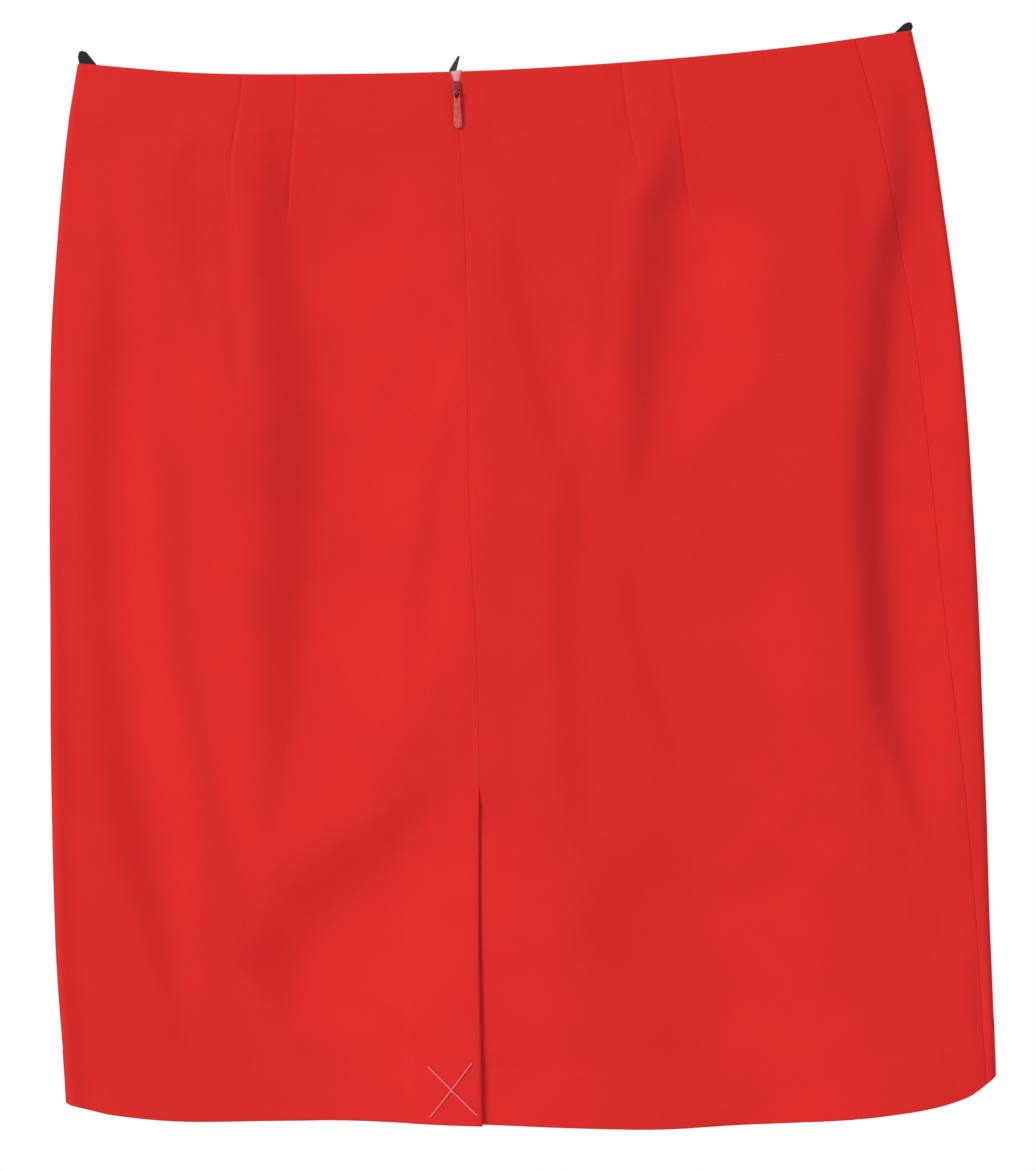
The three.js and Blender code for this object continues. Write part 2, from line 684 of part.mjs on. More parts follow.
const zip = new THREE.Group();
zip.position.copy(zipFoot);
zip.rotation.x = -zipLean;
skirt.add(zip);
add("zip_slider", zipSlider(), METAL_FINISH, zip);
add("waist_hook", waistHook(), HOOK_FINISH, zip);
add("waist_eye", waistEye(), HOOK_FINISH, zip);
const pull = add("zip_pull", zipPull(), PULL_FINISH, zip);
pull.position.y = -PIVOT_OUT;
pull.rotation.x = PULL_LEAN;

add("hanger_loop_left", hangerLoop(-1, LEFT_LOOP), LOOP_FINISH);
add("hanger_loop_right", hangerLoop(1, RIGHT_LOOP), LOOP_FINISH);

export default skirt;
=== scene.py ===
import math

import bmesh
import bpy
import numpy as np
from mathutils import Matrix, Vector


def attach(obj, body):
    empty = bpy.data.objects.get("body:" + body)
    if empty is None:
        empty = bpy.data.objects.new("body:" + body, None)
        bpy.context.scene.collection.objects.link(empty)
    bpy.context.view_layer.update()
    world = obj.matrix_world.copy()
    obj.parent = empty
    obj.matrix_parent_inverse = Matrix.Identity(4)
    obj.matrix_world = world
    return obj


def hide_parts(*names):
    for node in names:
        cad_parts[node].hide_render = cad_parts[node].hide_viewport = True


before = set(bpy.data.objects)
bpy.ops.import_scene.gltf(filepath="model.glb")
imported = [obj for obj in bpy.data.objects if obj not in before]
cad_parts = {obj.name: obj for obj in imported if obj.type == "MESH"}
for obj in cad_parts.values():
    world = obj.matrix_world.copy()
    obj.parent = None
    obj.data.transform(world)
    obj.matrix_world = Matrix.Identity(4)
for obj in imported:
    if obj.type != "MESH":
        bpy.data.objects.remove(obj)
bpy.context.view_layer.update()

# Left back panel: red wool cloth, shaped by two waist darts, faced at the waist and turned up at the hem.
# It wraps a little onto the front, where the side seam joins it to the front panel. The centre back seam
# ends above the vent, and below it the edge is folded under and hangs free as the vent's upper layer.
MM = 0.001  # lengths of cloth and fittings are in millimetres
CLOTH = 1.3
FACED = 2.1  # wall with the waist facing pressed to it
HEMMED = 2.5  # wall of the turned-up hem
FLAP = 1.9  # wall of the vent's folded edge
SEAM_GAP = 0.06
WAIST_TO_HEM = 554
VENT_TOP = 384
VENT_CORNER = (-21, -402.5)  # x and z of the seam's end there
VENT_OPENS = 6  # length over which the seam opens into the vent
HEM_UP = 31
HEM_LINE = WAIST_TO_HEM - HEM_UP
FACING_DEEP = 31
UNDERLAP = 40
NOTCH_DEEP = 11
NOTCH_HALF = 2.8
CENTRE_PLACE = 0.91  # of the centre back seam round the tube
SECTIONS = {
    "z": [4, -6, -40, -90, -150, -210, -290, -380, -480, -575],
    "half_width": [215.5, 217, 224, 231.2, 238, 241.8, 245, 246.9, 247.8, 249.6],
    "depth": [9, 10, 11.5, 13, 14, 15, 15.5, 16, 16, 16],
    "side": [3, 3, 3.2, 3.4, 3.6, 3.8, 4, 4, 4, 4],
}
WAIST_EDGE = {
    "across": [-1, -0.7, -0.35, 0, 0.35, 0.7, 1],
    "back": [-6.5, -14.2, -17.6, -18.4, -16.2, -11.4, -4.5],
    "front": [-6.5, -17, -23, -25, -22, -15.5, -4.5],
}
HEM_EDGE = {
    "across": [-1, -0.9, -0.7, -0.3, -0.08, 0.24, 0.5, 0.8, 0.93, 1],
    "back": [-556, -564, -571, -571.4, -572.7, -577.8, -579.6, -576.7, -570.6, -560],
    "front": [-556, -562, -568, -571, -572.5, -576, -577, -574, -568, -560],
}
CENTRE_BACK = {
    "z": [0, -50, -100, -150, -242, -335, -388, -458, -577],
    "x": [-21.5, -20, -19, -19.9, -21.8, -20.7, -21.9, -24.6, -26.8],
}
SIDE_SEAMS = {
    "z": [0, -90, -180, -300, -400, -480, -575],
    "right": [31, 26.5, 23, 18.6, 11.5, 7.4, 5.5],
    "left": [27, 24, 21, 17, 13, 10, 8],
}
# Each fold is a trough, or a ridge where its depth is below zero: its depth, the widths of its flanks to
# the left and right of its path where that runs down, the shares of the path over which it swells and
# dies out, and the path in x and z. The first ones go through both layers of the hanging skirt.
SHARED_FOLDS = [
    (8.4, 25, 52, 0.26, 0.22, [(207, -26), (213, -50), (217, -90), (212, -120), (208, -150), (206, -180),
                               (202, -210), (200, -240), (201, -280), (202, -320), (205, -360), (210, -400),
                               (222, -456)]),
    (20, 110, 60, 0.4, 0.01, [(10, -606), (-60, -606), (-120, -602), (-180, -590), (-230, -576),
                              (-300, -552)]),
    (-20, 60, 140, 0.5, 0.01, [(-262, -280), (-262, -400), (-262, -510), (-262, -640)]),
    (-3.4, 20, 21, 0.4, 0.01, [(-245, -200), (-249, -290), (-251, -400), (-252, -500), (-252, -640)]),
]
BACK_FOLDS = [
    (12, 44, 96, 0.26, 0.35, [(-117, -10), (-110, -56), (-104, -100), (-97, -155), (-95, -200), (-97, -240),
                              (-102, -285), (-109, -330), (-120, -380), (-134, -432)]),
    (11, 50, 90, 0.6, 0.22, [(-24, -388), (-36, -396), (-49, -409), (-66, -434), (-92, -456), (-110, -476),
                             (-118, -498), (-124, -524)]),
    (1.2, 18, 20, 0.4, 0.4, [(-162, -372), (-153, -415), (-141, -460)]),
    (5.8, 28, 34, 0.3, 0.3, [(-204, -40), (-198, -110), (-200, -160), (-203, -200), (-206, -240),
                             (-206, -300), (-202, -360), (-194, -420), (-186, -480), (-180, -560)]),
    (2.4, 20, 28, 0.3, 0.4, [(-158, -44), (-155, -95), (-151, -155)]),
    (3, 22, 34, 0.3, 0.4, [(-178, -120), (-173, -210), (-170, -290), (-163, -350), (-156, -410)]),
    (1.8, 18, 26, 0.3, 0.3, [(-26, -185), (-30, -222), (-38, -262), (-47, -305), (-52, -350)]),
    (2.4, 20, 36, 0.3, 0.3, [(4, -82), (13, -125), (21, -165), (28, -205), (36, -250)]),
    (3.4, 26, 54, 0.3, 0.3, [(44, -196), (40, -235), (38, -280), (37, -320), (37, -360), (38, -410),
                             (42, -456)]),
    (9.6, 36, 54, 0.3, 0.4, [(96, -46), (97, -78), (95, -108), (91, -142), (86, -175), (77, -210),
                             (62, -255)]),
    (1.2, 16, 50, 0.3, 0.3, [(62, -262), (69, -310), (78, -352), (90, -404)]),
    (-3, 60, 26, 0.3, 0.4, [(178, -50), (174, -130), (172, -220), (173, -320), (178, -400), (186, -480)]),
    (6, 60, 120, 0.35, 0.4, [(80, -200), (84, -280), (90, -370), (100, -460), (112, -540)]),
    (0.6, 18, 22, 0.3, 0.3, [(86, -440), (108, -425), (126, -409), (140, -387)]),
    (8, 60, 110, 0.4, 0.2, [(56, -396), (62, -440), (72, -480), (92, -520), (114, -570), (130, -620)]),
    (0.6, 26, 20, 0.3, 0.3, [(196, -500), (214, -482), (232, -450)]),
]
BACK_CREASES = [
    (1.7, 13, 16, 0.3, 0.4, [(-141, -66), (-140, -120), (-140, -185)]),
    (0.8, 9, 12, 0.3, 0.3, [(-126, -25), (-131, -60), (-132, -95)]),
    (0.5, 12, 16, 0.3, 0.3, [(-38, -142), (-52, -175), (-70, -200)]),
    (0.5, 10, 12, 0.3, 0.3, [(-24, -136), (-34, -170), (-45, -190)]),
    (0.4, 7, 8, 0.3, 0.3, [(-35, -276), (-28, -264), (-20, -254)]),
    (0.5, 11, 14, 0.3, 0.3, [(-31, -285), (-34, -320), (-38, -362)]),
    (0.9, 13, 18, 0.3, 0.3, [(65, -30), (60, -100), (53, -150), (48, -195)]),
    (0.5, 8, 10, 0.3, 0.3, [(203, -424), (202, -436), (208, -448)]),
    (0.9, 10, 12, 0.3, 0.3, [(240, -490), (242, -520), (245, -548)]),
]
FRONT_FOLDS = [
    (6, 40, 70, 0.3, 0.35, [(-120, -50), (-116, -150), (-120, -240), (-112, -330), (-100, -410)]),
    (4, 26, 44, 0.3, 0.3, [(-56, -110), (-50, -190), (-54, -280), (-46, -360)]),
    (3.5, 30, 40, 0.3, 0.3, [(12, -180), (18, -280), (14, -380), (6, -480)]),
    (6.5, 60, 36, 0.3, 0.35, [(96, -40), (100, -160), (94, -250), (100, -340), (116, -430)]),
    (4, 40, 30, 0.3, 0.3, [(176, -60), (180, -160), (178, -250), (182, -340), (190, -410)]),
    (4.5, 50, 60, 0.4, 0.4, [(-150, -430), (-110, -474), (-50, -496), (10, -490)]),
    (4, 44, 50, 0.4, 0.4, [(50, -486), (100, -508), (150, -486), (186, -440)]),
    (3, 24, 34, 0.3, 0.3, [(-206, -100), (-200, -220), (-202, -320), (-196, -420)]),
]
FRONT_CREASES = [
    (0.9, 10, 14, 0.3, 0.4, [(-132, -60), (-136, -120), (-140, -190)]),
    (0.9, 10, 14, 0.3, 0.3, [(40, -120), (34, -190), (38, -250)]),
    (0.8, 10, 12, 0.3, 0.3, [(140, -140), (136, -220), (142, -300)]),
    (0.6, 12, 14, 0.3, 0.3, [(-90, -440), (-40, -452), (20, -450)]),
]
# Stitched darts, as the x of the line at heights from the waist to the tip.
BACK_DARTS = [
    {"z": [-10, -40, -60, -80, -98], "x": [-102.5, -105, -108, -110, -112]},
    {"z": [-10, -30, -60, -90], "x": [-130.5, -133, -139, -140]},
    {"z": [-10, -30, -50, -75], "x": [64.5, 66, 68, 73]},
    {"z": [-8, -30, -50, -70, -102], "x": [89.5, 92, 94, 96, 99]},
]
FRONT_DARTS = [
    {"z": [-18, -50, -92], "x": [-98, -101, -105]},
    {"z": [-16, -50, -92], "x": [92, 95, 99]},
]
NARROW = 0.35  # a fold's width at its ends, as a share of its full width
SIDE_CALM = 0.03  # share of the half width beside each side in which folds run out
PATH_STEPS = 36
CLOSE_UP = 0.15  # share of the way from a side to the middle in which columns stand closer
EVEN = 1 - CLOSE_UP / 2
STEP = 0.004  # round the tube, by which slopes are taken
COLUMN_STEP = 0.0105
ROW_STEP = 2.45
NEAR_EDGE = [0.12, 0.35, 0.7, 1.2, 1.9, 3]
NEAR_DART = [-2.6, -1.4, -0.7, -0.3, 0, 0.3, 0.7, 1.4, 2.6]
FACING_STEP = 0.6  # half the length over which the wall changes at the facing's edge
HEM_STEP = 0.7  # the same at the hem line
HEM_SOFT = 1.5  # from the hem line to the next rows
BESIDE_LAP = 1.5  # from the underlap's edge to the next column
ROLL_RADIUS = 1.1  # of an edge where it turns into a seam
SIDE_SEAM = (0.32, 0.26)  # depth of the turned edge, and of the broad hollow beside the seam
CENTRE_SEAM = (0.14, 0.05)
SEAM_HOLLOW = 4  # half width of that hollow
FOLD_RADIUS = 1.9  # of the vent's soft folded edge
ALLOWANCE = 14
IMPRINT = 0.16  # by which layers underneath raise the face
HEM_IMPRINT = 1.5 * IMPRINT
LAP_IMPRINT = 1.6 * IMPRINT
LAP_SOFT = 1.8  # width over which the underlap's edge shows
LAP_SLOPE = 0.4  # of the underlap's top
DART_GROOVE = (0.4, 0.75)  # depth and half width of a dart's stitched line
DART_HOLLOW = (0.45, 6)
DART_FADE = 16  # length over which a dart runs out to its tip
DART_MIDDLE = -40.0  # height at which a dart's place round the tube is read
DART_DRIFT = 400  # length below the tip over which columns lean on in the dart's direction
FLAP_LIFT = 2.2
FLAP_RUN = 56
FLAP_RISE = 130
SLOW_WAVES = 0.2
QUICK_WAVES = 0.045


def ease(t):
    t = np.clip(t, 0, 1)
    return t * t * (3 - 2 * t)


def read(table, key, column, at):
    """A smooth curve through one column of a table, read at values of its key column."""
    keys = np.array(table[key], float)
    values = np.array(table[column], float)
    if keys[0] > keys[-1]:
        keys, values = keys[::-1], values[::-1]
    low = np.maximum(np.arange(len(keys)) - 1, 0)
    high = np.minimum(np.arange(len(keys)) + 1, len(keys) - 1)
    slope = (values[high] - values[low]) / (keys[high] - keys[low])
    at = np.clip(at, keys[0], keys[-1])
    i = np.clip(np.searchsorted(keys, at) - 1, 0, len(keys) - 2)
    step = keys[i + 1] - keys[i]
    t = (at - keys[i]) / step
    start = (2 * t**3 - 3 * t**2 + 1) * values[i] + (t**3 - 2 * t**2 + t) * slope[i] * step
    end = (3 * t**2 - 2 * t**3) * values[i + 1] + (t**3 - t**2) * slope[i + 1] * step
    return start + end


# A place round the tube runs from 0 to 4: 0 is the left side, 1 the middle of the back, 2 the right
# side and 3 the middle of the front.
def on_front(place):
    return np.mod(place, 4) > 2


def across_of(place):
    turn = np.mod(place, 4)
    u = np.where(turn <= 2, turn - 1, 3 - turn)
    to_side = 1 - np.abs(u)
    closing = np.sign(u) * (1 - to_side**2 / (2 * CLOSE_UP * EVEN))
    return np.where(to_side > CLOSE_UP, u / EVEN, closing)


def place_of(x, z, front):
    across = np.clip(x / read(SECTIONS, "z", "half_width", z), -1, 1)
    closing = np.sign(across) * (1 - np.sqrt(2 * CLOSE_UP * EVEN * (1 - np.abs(across))))
    u = np.where(np.abs(across) < (1 - CLOSE_UP) / EVEN, across * EVEN, closing)
    return 3 - u if front else 1 + u


def edge_height(edge, place):
    across = across_of(place)
    front = read(edge, "across", "front", across)
    back = read(edge, "across", "back", across)
    return np.where(on_front(place), front, back)


def height_at(place, down):
    top = edge_height(WAIST_EDGE, place)
    return top + (edge_height(HEM_EDGE, place) - top) * down / WAIST_TO_HEM


def bare_section(place, z):
    across = across_of(place)
    half_width = read(SECTIONS, "z", "half_width", z)
    depth = read(SECTIONS, "z", "depth", z)
    radius = read(SECTIONS, "z", "side", z)
    to_side = np.minimum(1, half_width * (1 - np.abs(across)) / radius)
    y = depth * (1 - across**2) + radius * np.sqrt(1 - (1 - to_side) ** 2)
    return half_width * across, np.where(on_front(place), y, -y)


def draw_path(points):
    """Evenly numbered points on a smooth curve through the path's own points."""
    points = np.array(points, float)
    last = len(points) - 1
    at = np.linspace(0, last, PATH_STEPS + 1)
    i = np.minimum(at.astype(int), last - 1)
    t = (at - i)[:, None]
    before, a = points[np.maximum(i - 1, 0)], points[i]
    b, after = points[i + 1], points[np.minimum(i + 2, last)]
    m, n = (b - before) / 2, (after - a) / 2
    return (2 * a - 2 * b + m + n) * t**3 + (3 * b - 3 * a - 2 * m - n) * t**2 + m * t + a


def trough(fold, x, z):
    depth, left, right, swells, dies_out, path = fold
    path = draw_path(path)
    reach = max(left, right)
    low, high = path.min(0) - reach, path.max(0) + reach
    total = np.zeros_like(x)
    pick = (x > low[0]) & (x < high[0]) & (z > low[1]) & (z < high[1])
    if not pick.any():
        return total
    a = path[:-1]
    run = path[1:] - a
    from_x = x[pick][:, None] - a[:, 0]
    from_z = z[pick][:, None] - a[:, 1]
    t = np.clip((from_x * run[:, 0] + from_z * run[:, 1]) / (run**2).sum(1), 0, 1)
    from_x = from_x - t * run[:, 0]
    from_z = from_z - t * run[:, 1]
    away = np.hypot(from_x, from_z)
    i = away.argmin(1)
    rows = np.arange(len(i))
    near = away[rows, i]
    side = run[i, 0] * from_z[rows, i] - run[i, 1] * from_x[rows, i]
    along = (i + t[rows, i]) / PATH_STEPS
    taper = ease(along / swells) * ease((1 - along) / dies_out)
    width = np.where(side > 0, right, left) * (NARROW + (1 - NARROW) * taper)
    total[pick] = depth * taper * np.clip(1 - (near / width) ** 2, 0, 1) ** 3
    return total


def surface(place, down, set_in):
    """Points on the outer face of the hanging cloth, in millimetres."""
    z = height_at(place, down)
    x, y = bare_section(place, z)
    ahead_x, ahead_y = bare_section(place + STEP, z)
    behind_x, behind_y = bare_section(place - STEP, z)
    out_x, out_y = ahead_y - behind_y, behind_x - ahead_x
    length = np.hypot(out_x, out_y)
    calm = ease((1 - np.abs(across_of(place))) / SIDE_CALM)
    back = sum(trough(fold, x, z) for fold in BACK_FOLDS + BACK_CREASES)
    front = sum(trough(fold, x, z) for fold in FRONT_FOLDS + FRONT_CREASES)
    inward = calm * np.where(on_front(place), front, back) + set_in(x, z, down)
    y = y - out_y / length * inward + sum(trough(fold, x, z) for fold in SHARED_FOLDS)
    return np.stack([x - out_x / length * inward, y, z], axis=-1)


def outward(place, down, set_in):
    round_tube = surface(place + STEP, down, set_in) - surface(place - STEP, down, set_in)
    drop = surface(place, down + 1, set_in) - surface(place, down - 1, set_in)
    normal = -np.cross(round_tube, drop)
    return normal / np.linalg.norm(normal, axis=-1, keepdims=True)


def lay(lines, step):
    """Fills the stretches between neighbouring lines evenly, with steps of at most the given size."""
    filled = [np.asarray(lines[0], float)]
    for line in lines[1:]:
        start = filled[-1]
        count = max(1, math.ceil(np.abs(line - start).mean() / step - 0.01))
        filled += [start + (line - start) * i / count for i in range(1, count + 1)]
    return np.stack(filled, axis=-1)


def run_from(points, axis):
    """Distance over the cloth from its first row or column."""
    steps = np.linalg.norm(np.diff(points, axis=axis), axis=-1)
    return np.concatenate([np.zeros_like(points[..., 0].take([0], axis)), steps.cumsum(axis)], axis)


def rolled(distance, radius):
    """1 at an edge and 0 a radius away from it, on a quarter circle."""
    return 1 - np.sqrt(1 - (1 - np.clip(distance / radius, 0, 1)) ** 2)


def bell(away, height, half_width):
    return height * np.exp(-((away / half_width) ** 2))


def dart_relief(darts, x, z):
    relief = np.zeros_like(x)
    for dart in darts:
        away = x - read(dart, "z", "x", z)
        fade = ease((z - dart["z"][-1]) / DART_FADE)
        relief -= fade * (bell(away, *DART_GROOVE) + bell(away, *DART_HOLLOW))
    return relief


def handle_waves(x, z):
    """The slight unevenness of cloth that has been worn and pressed."""
    slow = np.sin(x / 31 + 1.7 * np.sin(z / 57)) * np.sin(z / 43 + 0.9 * np.sin(x / 39 + 1))
    quick = np.sin(x / 9.5 + 2 * np.sin(z / 23 + 2)) * np.sin(z / 14 + 1.3 * np.sin(x / 17))
    return SLOW_WAVES * slow + QUICK_WAVES * quick


def wall_at(down):
    faced = (FACED - CLOTH) * (1 - ease((down - FACING_DEEP + FACING_STEP) / (2 * FACING_STEP)))
    hemmed = (HEMMED - CLOTH) * ease((down - HEM_LINE + HEM_STEP) / (2 * HEM_STEP))
    return CLOTH + faced + hemmed


def cloth_mesh(name, outer, inner, keep=None):
    """A closed shell over two grids of points, with each face's cloth coordinates kept as a UV map."""
    rows, columns = outer.shape[:2]
    keep = np.ones((rows - 1, columns - 1), bool) if keep is None else keep
    layer = rows * columns
    index = np.arange(layer).reshape(rows, columns)
    corners = (index[:-1, :-1], index[1:, :-1], index[1:, 1:], index[:-1, 1:])
    around = np.pad(keep, 1)
    open_sides = [around[1:-1, :-2], around[2:, 1:-1], around[1:-1, 2:], around[:-2, 1:-1]]
    a, b, c, d = (corner[keep] for corner in corners)
    faces = [np.stack([a, b, c, d], 1), np.stack([a, d, c, b], 1) + layer]
    for number, neighbour in enumerate(open_sides):
        bare = keep & ~neighbour
        p, q = corners[number][bare], corners[(number + 1) % 4][bare]
        faces.append(np.stack([p, p + layer, q + layer, q], 1))
    faces = np.concatenate(faces)
    used, faces = np.unique(faces, return_inverse=True)
    faces = faces.reshape(-1, 4)
    points = np.concatenate([outer.reshape(-1, 3), inner.reshape(-1, 3)])[used] * MM
    mesh = bpy.data.meshes.new(name)
    mesh.from_pydata(points.tolist(), [], faces.tolist())
    mesh.polygons.foreach_set("use_smooth", np.ones(len(faces), bool))
    flat = np.stack([run_from(outer, 1), run_from(outer, 0)], -1).reshape(-1, 2)
    flat = np.concatenate([flat, flat])[used] * MM
    mesh.uv_layers.new(name="cloth").data.foreach_set("uv", flat[faces.ravel()].ravel())
    piece = bpy.data.objects.new(name, mesh)
    bpy.context.scene.collection.objects.link(piece)
    return piece


def linear(red, green, blue):
    """A display colour of 0 to 255 as scene-linear values."""
    parts = (c / 255 for c in (red, green, blue))
    return (*(c / 12.92 if c <= 0.04045 else ((c + 0.055) / 1.055) ** 2.4 for c in parts), 1)


def add_node(tree, kind, sockets=None, **settings):
    made = tree.nodes.new("ShaderNode" + kind)
    for name, value in settings.items():
        setattr(made, name, value)
    for key, value in (sockets or {}).items():
        if isinstance(value, bpy.types.NodeSocket):
            tree.links.new(value, made.inputs[key])
        else:
            made.inputs[key].default_value = value
    return made


def new_group(name, inputs, outputs):
    """A shader node group with its sockets, and its input and output nodes."""
    tree = bpy.data.node_groups.new(name, "ShaderNodeTree")
    for label, kind, value in inputs:
        socket = tree.interface.new_socket(label, in_out="INPUT", socket_type="NodeSocket" + kind)
        if value is not None:
            socket.default_value = value
    for label, kind in outputs:
        tree.interface.new_socket(label, in_out="OUTPUT", socket_type="NodeSocket" + kind)
    return tree, tree.nodes.new("NodeGroupInput"), tree.nodes.new("NodeGroupOutput")


# Plain weave: warp and weft cross over and under, and the yarn's thickness wanders a little.
weave, given, put_out = new_group(
    "plain_weave",
    [("Cloth", "Vector", None), ("Pitch", "Float", 0.0007), ("Fuzz", "Float", 0.5)],
    [("Height", "Float"), ("Over", "Float")],
)
wander = add_node(weave, "TexNoise", {"Vector": given.outputs["Cloth"], "Scale": 260.0, "Detail": 2.0})
shift = add_node(weave, "VectorMath", {0: wander.outputs["Color"], 1: (0.5, 0.5, 0.5)}, operation="SUBTRACT")
shift = add_node(weave, "VectorMath", {0: shift.outputs[0], "Scale": 0.00035}, operation="SCALE")
where = add_node(weave, "VectorMath", {0: given.outputs["Cloth"], 1: shift.outputs[0]}, operation="ADD")
turns = add_node(weave, "Math", {0: math.pi, 1: given.outputs["Pitch"]}, operation="DIVIDE")
where = add_node(weave, "VectorMath", {0: where.outputs[0], "Scale": turns.outputs[0]}, operation="SCALE")
split = add_node(weave, "SeparateXYZ", {0: where.outputs[0]})
warp = add_node(weave, "Math", {0: split.outputs["X"]}, operation="SINE")
weft = add_node(weave, "Math", {0: split.outputs["Y"]}, operation="SINE")
crossing = add_node(weave, "Math", {0: warp.outputs[0], 1: weft.outputs[0]}, operation="MULTIPLY")
bump_up = add_node(weave, "Math", {0: crossing.outputs[0]}, operation="ABSOLUTE")
fuzz = add_node(weave, "TexNoise", {"Vector": given.outputs["Cloth"], "Scale": 2600.0, "Detail": 3.0})
height = add_node(
    weave, "Mix", {0: given.outputs["Fuzz"], 2: bump_up.outputs[0], 3: fuzz.outputs["Fac"]}, data_type="FLOAT"
)
weave.links.new(height.outputs[0], put_out.inputs["Height"])
weave.links.new(crossing.outputs[0], put_out.inputs["Over"])

# Dyed cloth: the dye takes a little differently from yarn to yarn and over a hand's width, and half of the
# weave's crossings are painted a shade deeper than the others, as painted weave shade.
dyed_and_shaded, given, put_out = new_group(
    "dyed_and_weave_shaded_cloth",
    [("Cloth", "Vector", None), ("Dye", "Color", (1, 1, 1, 1)), ("Deep Dye And Shade", "Color", (1, 1, 1, 1)),
     ("Pitch", "Float", 0.0007), ("Fuzz", "Float", 0.5)],
    [("Color", "Color"), ("Roughness", "Float"), ("Height", "Float")],
)
threads = {name: given.outputs[name] for name in ("Cloth", "Pitch", "Fuzz")}
threads = add_node(dyed_and_shaded, "Group", threads, node_tree=weave)
fleck = add_node(
    dyed_and_shaded, "TexNoise", {"Vector": given.outputs["Cloth"], "Scale": 900.0, "Detail": 4.0, "Roughness": 0.7}
)
cloud = add_node(dyed_and_shaded, "TexNoise", {"Vector": given.outputs["Cloth"], "Scale": 22.0, "Detail": 3.0})
both = add_node(dyed_and_shaded, "Math", {0: fleck.outputs["Fac"], 1: cloud.outputs["Fac"]}, operation="ADD")
uneven = add_node(dyed_and_shaded, "MapRange", {0: both.outputs[0], 1: 0.7, 2: 1.3, 3: 0.1, 4: 0.4})
# Painted weave shade: where one yarn lies over, the cloth is mixed further toward the deep dye colour, and
# where the other does, less.
over = add_node(dyed_and_shaded, "MapRange", {0: threads.outputs["Over"], 1: -1.0, 2: 1.0, 3: 0.0, 4: 0.25})
share = add_node(dyed_and_shaded, "Math", {0: uneven.outputs[0], 1: over.outputs[0]}, operation="ADD")
tint = {0: share.outputs[0], 6: given.outputs["Dye"], 7: given.outputs["Deep Dye And Shade"]}
tint = add_node(dyed_and_shaded, "Mix", tint, data_type="RGBA")
rough = add_node(dyed_and_shaded, "MapRange", {0: fleck.outputs["Fac"], 1: 0.3, 2: 0.7, 3: 0.78, 4: 0.92})
dyed_and_shaded.links.new(tint.outputs[2], put_out.inputs["Color"])
dyed_and_shaded.links.new(rough.outputs[0], put_out.inputs["Roughness"])
dyed_and_shaded.links.new(threads.outputs["Height"], put_out.inputs["Height"])


def new_material(name):
    material = bpy.data.materials.new(name)
    material.use_nodes = True
    return material, material.node_tree, material.node_tree.nodes["Principled BSDF"]


def cloth_material(name, dye, deep_dye_and_shade, pitch, fuzz, relief, sheen, sheen_tint, by_object=False):
    material, tree, shader = new_material(name)
    if by_object:
        on_piece = add_node(tree, "TexCoord").outputs["Object"]
        cloth_at = add_node(tree, "Mapping", {"Vector": on_piece, "Rotation": (math.pi / 2, 0, 0)}).outputs[0]
    else:
        cloth_at = add_node(tree, "UVMap", uv_map="cloth").outputs["UV"]
    # The deep dye colour is also the colour of the painted weave shade.
    finish = {"Cloth": cloth_at, "Dye": dye, "Deep Dye And Shade": deep_dye_and_shade, "Pitch": pitch, "Fuzz": fuzz}
    finish = add_node(tree, "Group", finish, node_tree=dyed_and_shaded)
    bump = {"Height": finish.outputs["Height"], "Strength": relief, "Distance": 0.00022}
    bump = add_node(tree, "Bump", bump)
    tree.links.new(finish.outputs["Color"], shader.inputs["Base Color"])
    tree.links.new(finish.outputs["Roughness"], shader.inputs["Roughness"])
    tree.links.new(bump.outputs[0], shader.inputs["Normal"])
    shader.inputs["Sheen Weight"].default_value = sheen
    shader.inputs["Sheen Roughness"].default_value = 0.45
    shader.inputs["Sheen Tint"].default_value = sheen_tint
    shader.inputs["Specular IOR Level"].default_value = 0.25
    return material


wool = cloth_material(
    "red_wool", linear(226, 40, 36), linear(200, 26, 30), pitch=0.00075, fuzz=0.5, relief=0.45,
    sheen=0.08, sheen_tint=linear(255, 150, 140),
)


def centre_x(z):
    return read(CENTRE_BACK, "z", "x", z)


def beside_centre(offset, down):
    z = height_at(CENTRE_PLACE, down)
    return place_of(centre_x(z) + offset, z, False)


def beside_seam(side, front, offset, down):
    """A line beside the right (side 1) or left (side -1) hip seam."""
    z = height_at(1 + side, down)
    inset = read(SIDE_SEAMS, "z", "right" if side > 0 else "left", z)
    x = side * (read(SECTIONS, "z", "half_width", z) - inset) + offset
    place = place_of(x, z, front)
    return place - 4 if side < 0 else place


def beside_dart(dart, front, offset, down):
    z = height_at(place_of(dart["x"][0], DART_MIDDLE, front), down)
    drift = (dart["x"][-1] - dart["x"][-2]) * np.clip((dart["z"][-1] - z) / DART_DRIFT, 0, 1)
    return place_of(read(dart, "z", "x", z) + drift + offset, z, front)


def notch_half(down):
    return SEAM_GAP / 2 + NOTCH_HALF * np.clip(1 - down / NOTCH_DEEP, 0, 1)


down_rows = lay(
    [0, *NEAR_EDGE, NOTCH_DEEP, *(FACING_DEEP + k * FACING_STEP for k in (-1, 0, 1)), VENT_TOP,
     HEM_LINE - HEM_SOFT, *(HEM_LINE + k * HEM_STEP for k in (-1, 0, 1)), HEM_LINE + HEM_SOFT,
     *(WAIST_TO_HEM - e for e in NEAR_EDGE[::-1]), WAIST_TO_HEM],
    ROW_STEP,
)
below_vent = ease((down_rows - VENT_TOP) / VENT_OPENS)[:, None]


def edge_relief(points, wall):
    """How the face turns in at the waist and at the hem, and how the inner face meets it."""
    from_top = run_from(points, 0)
    from_hem = from_top[-1:] - from_top
    half = wall / 2
    return half * (rolled(from_top, half) + rolled(from_hem, half))


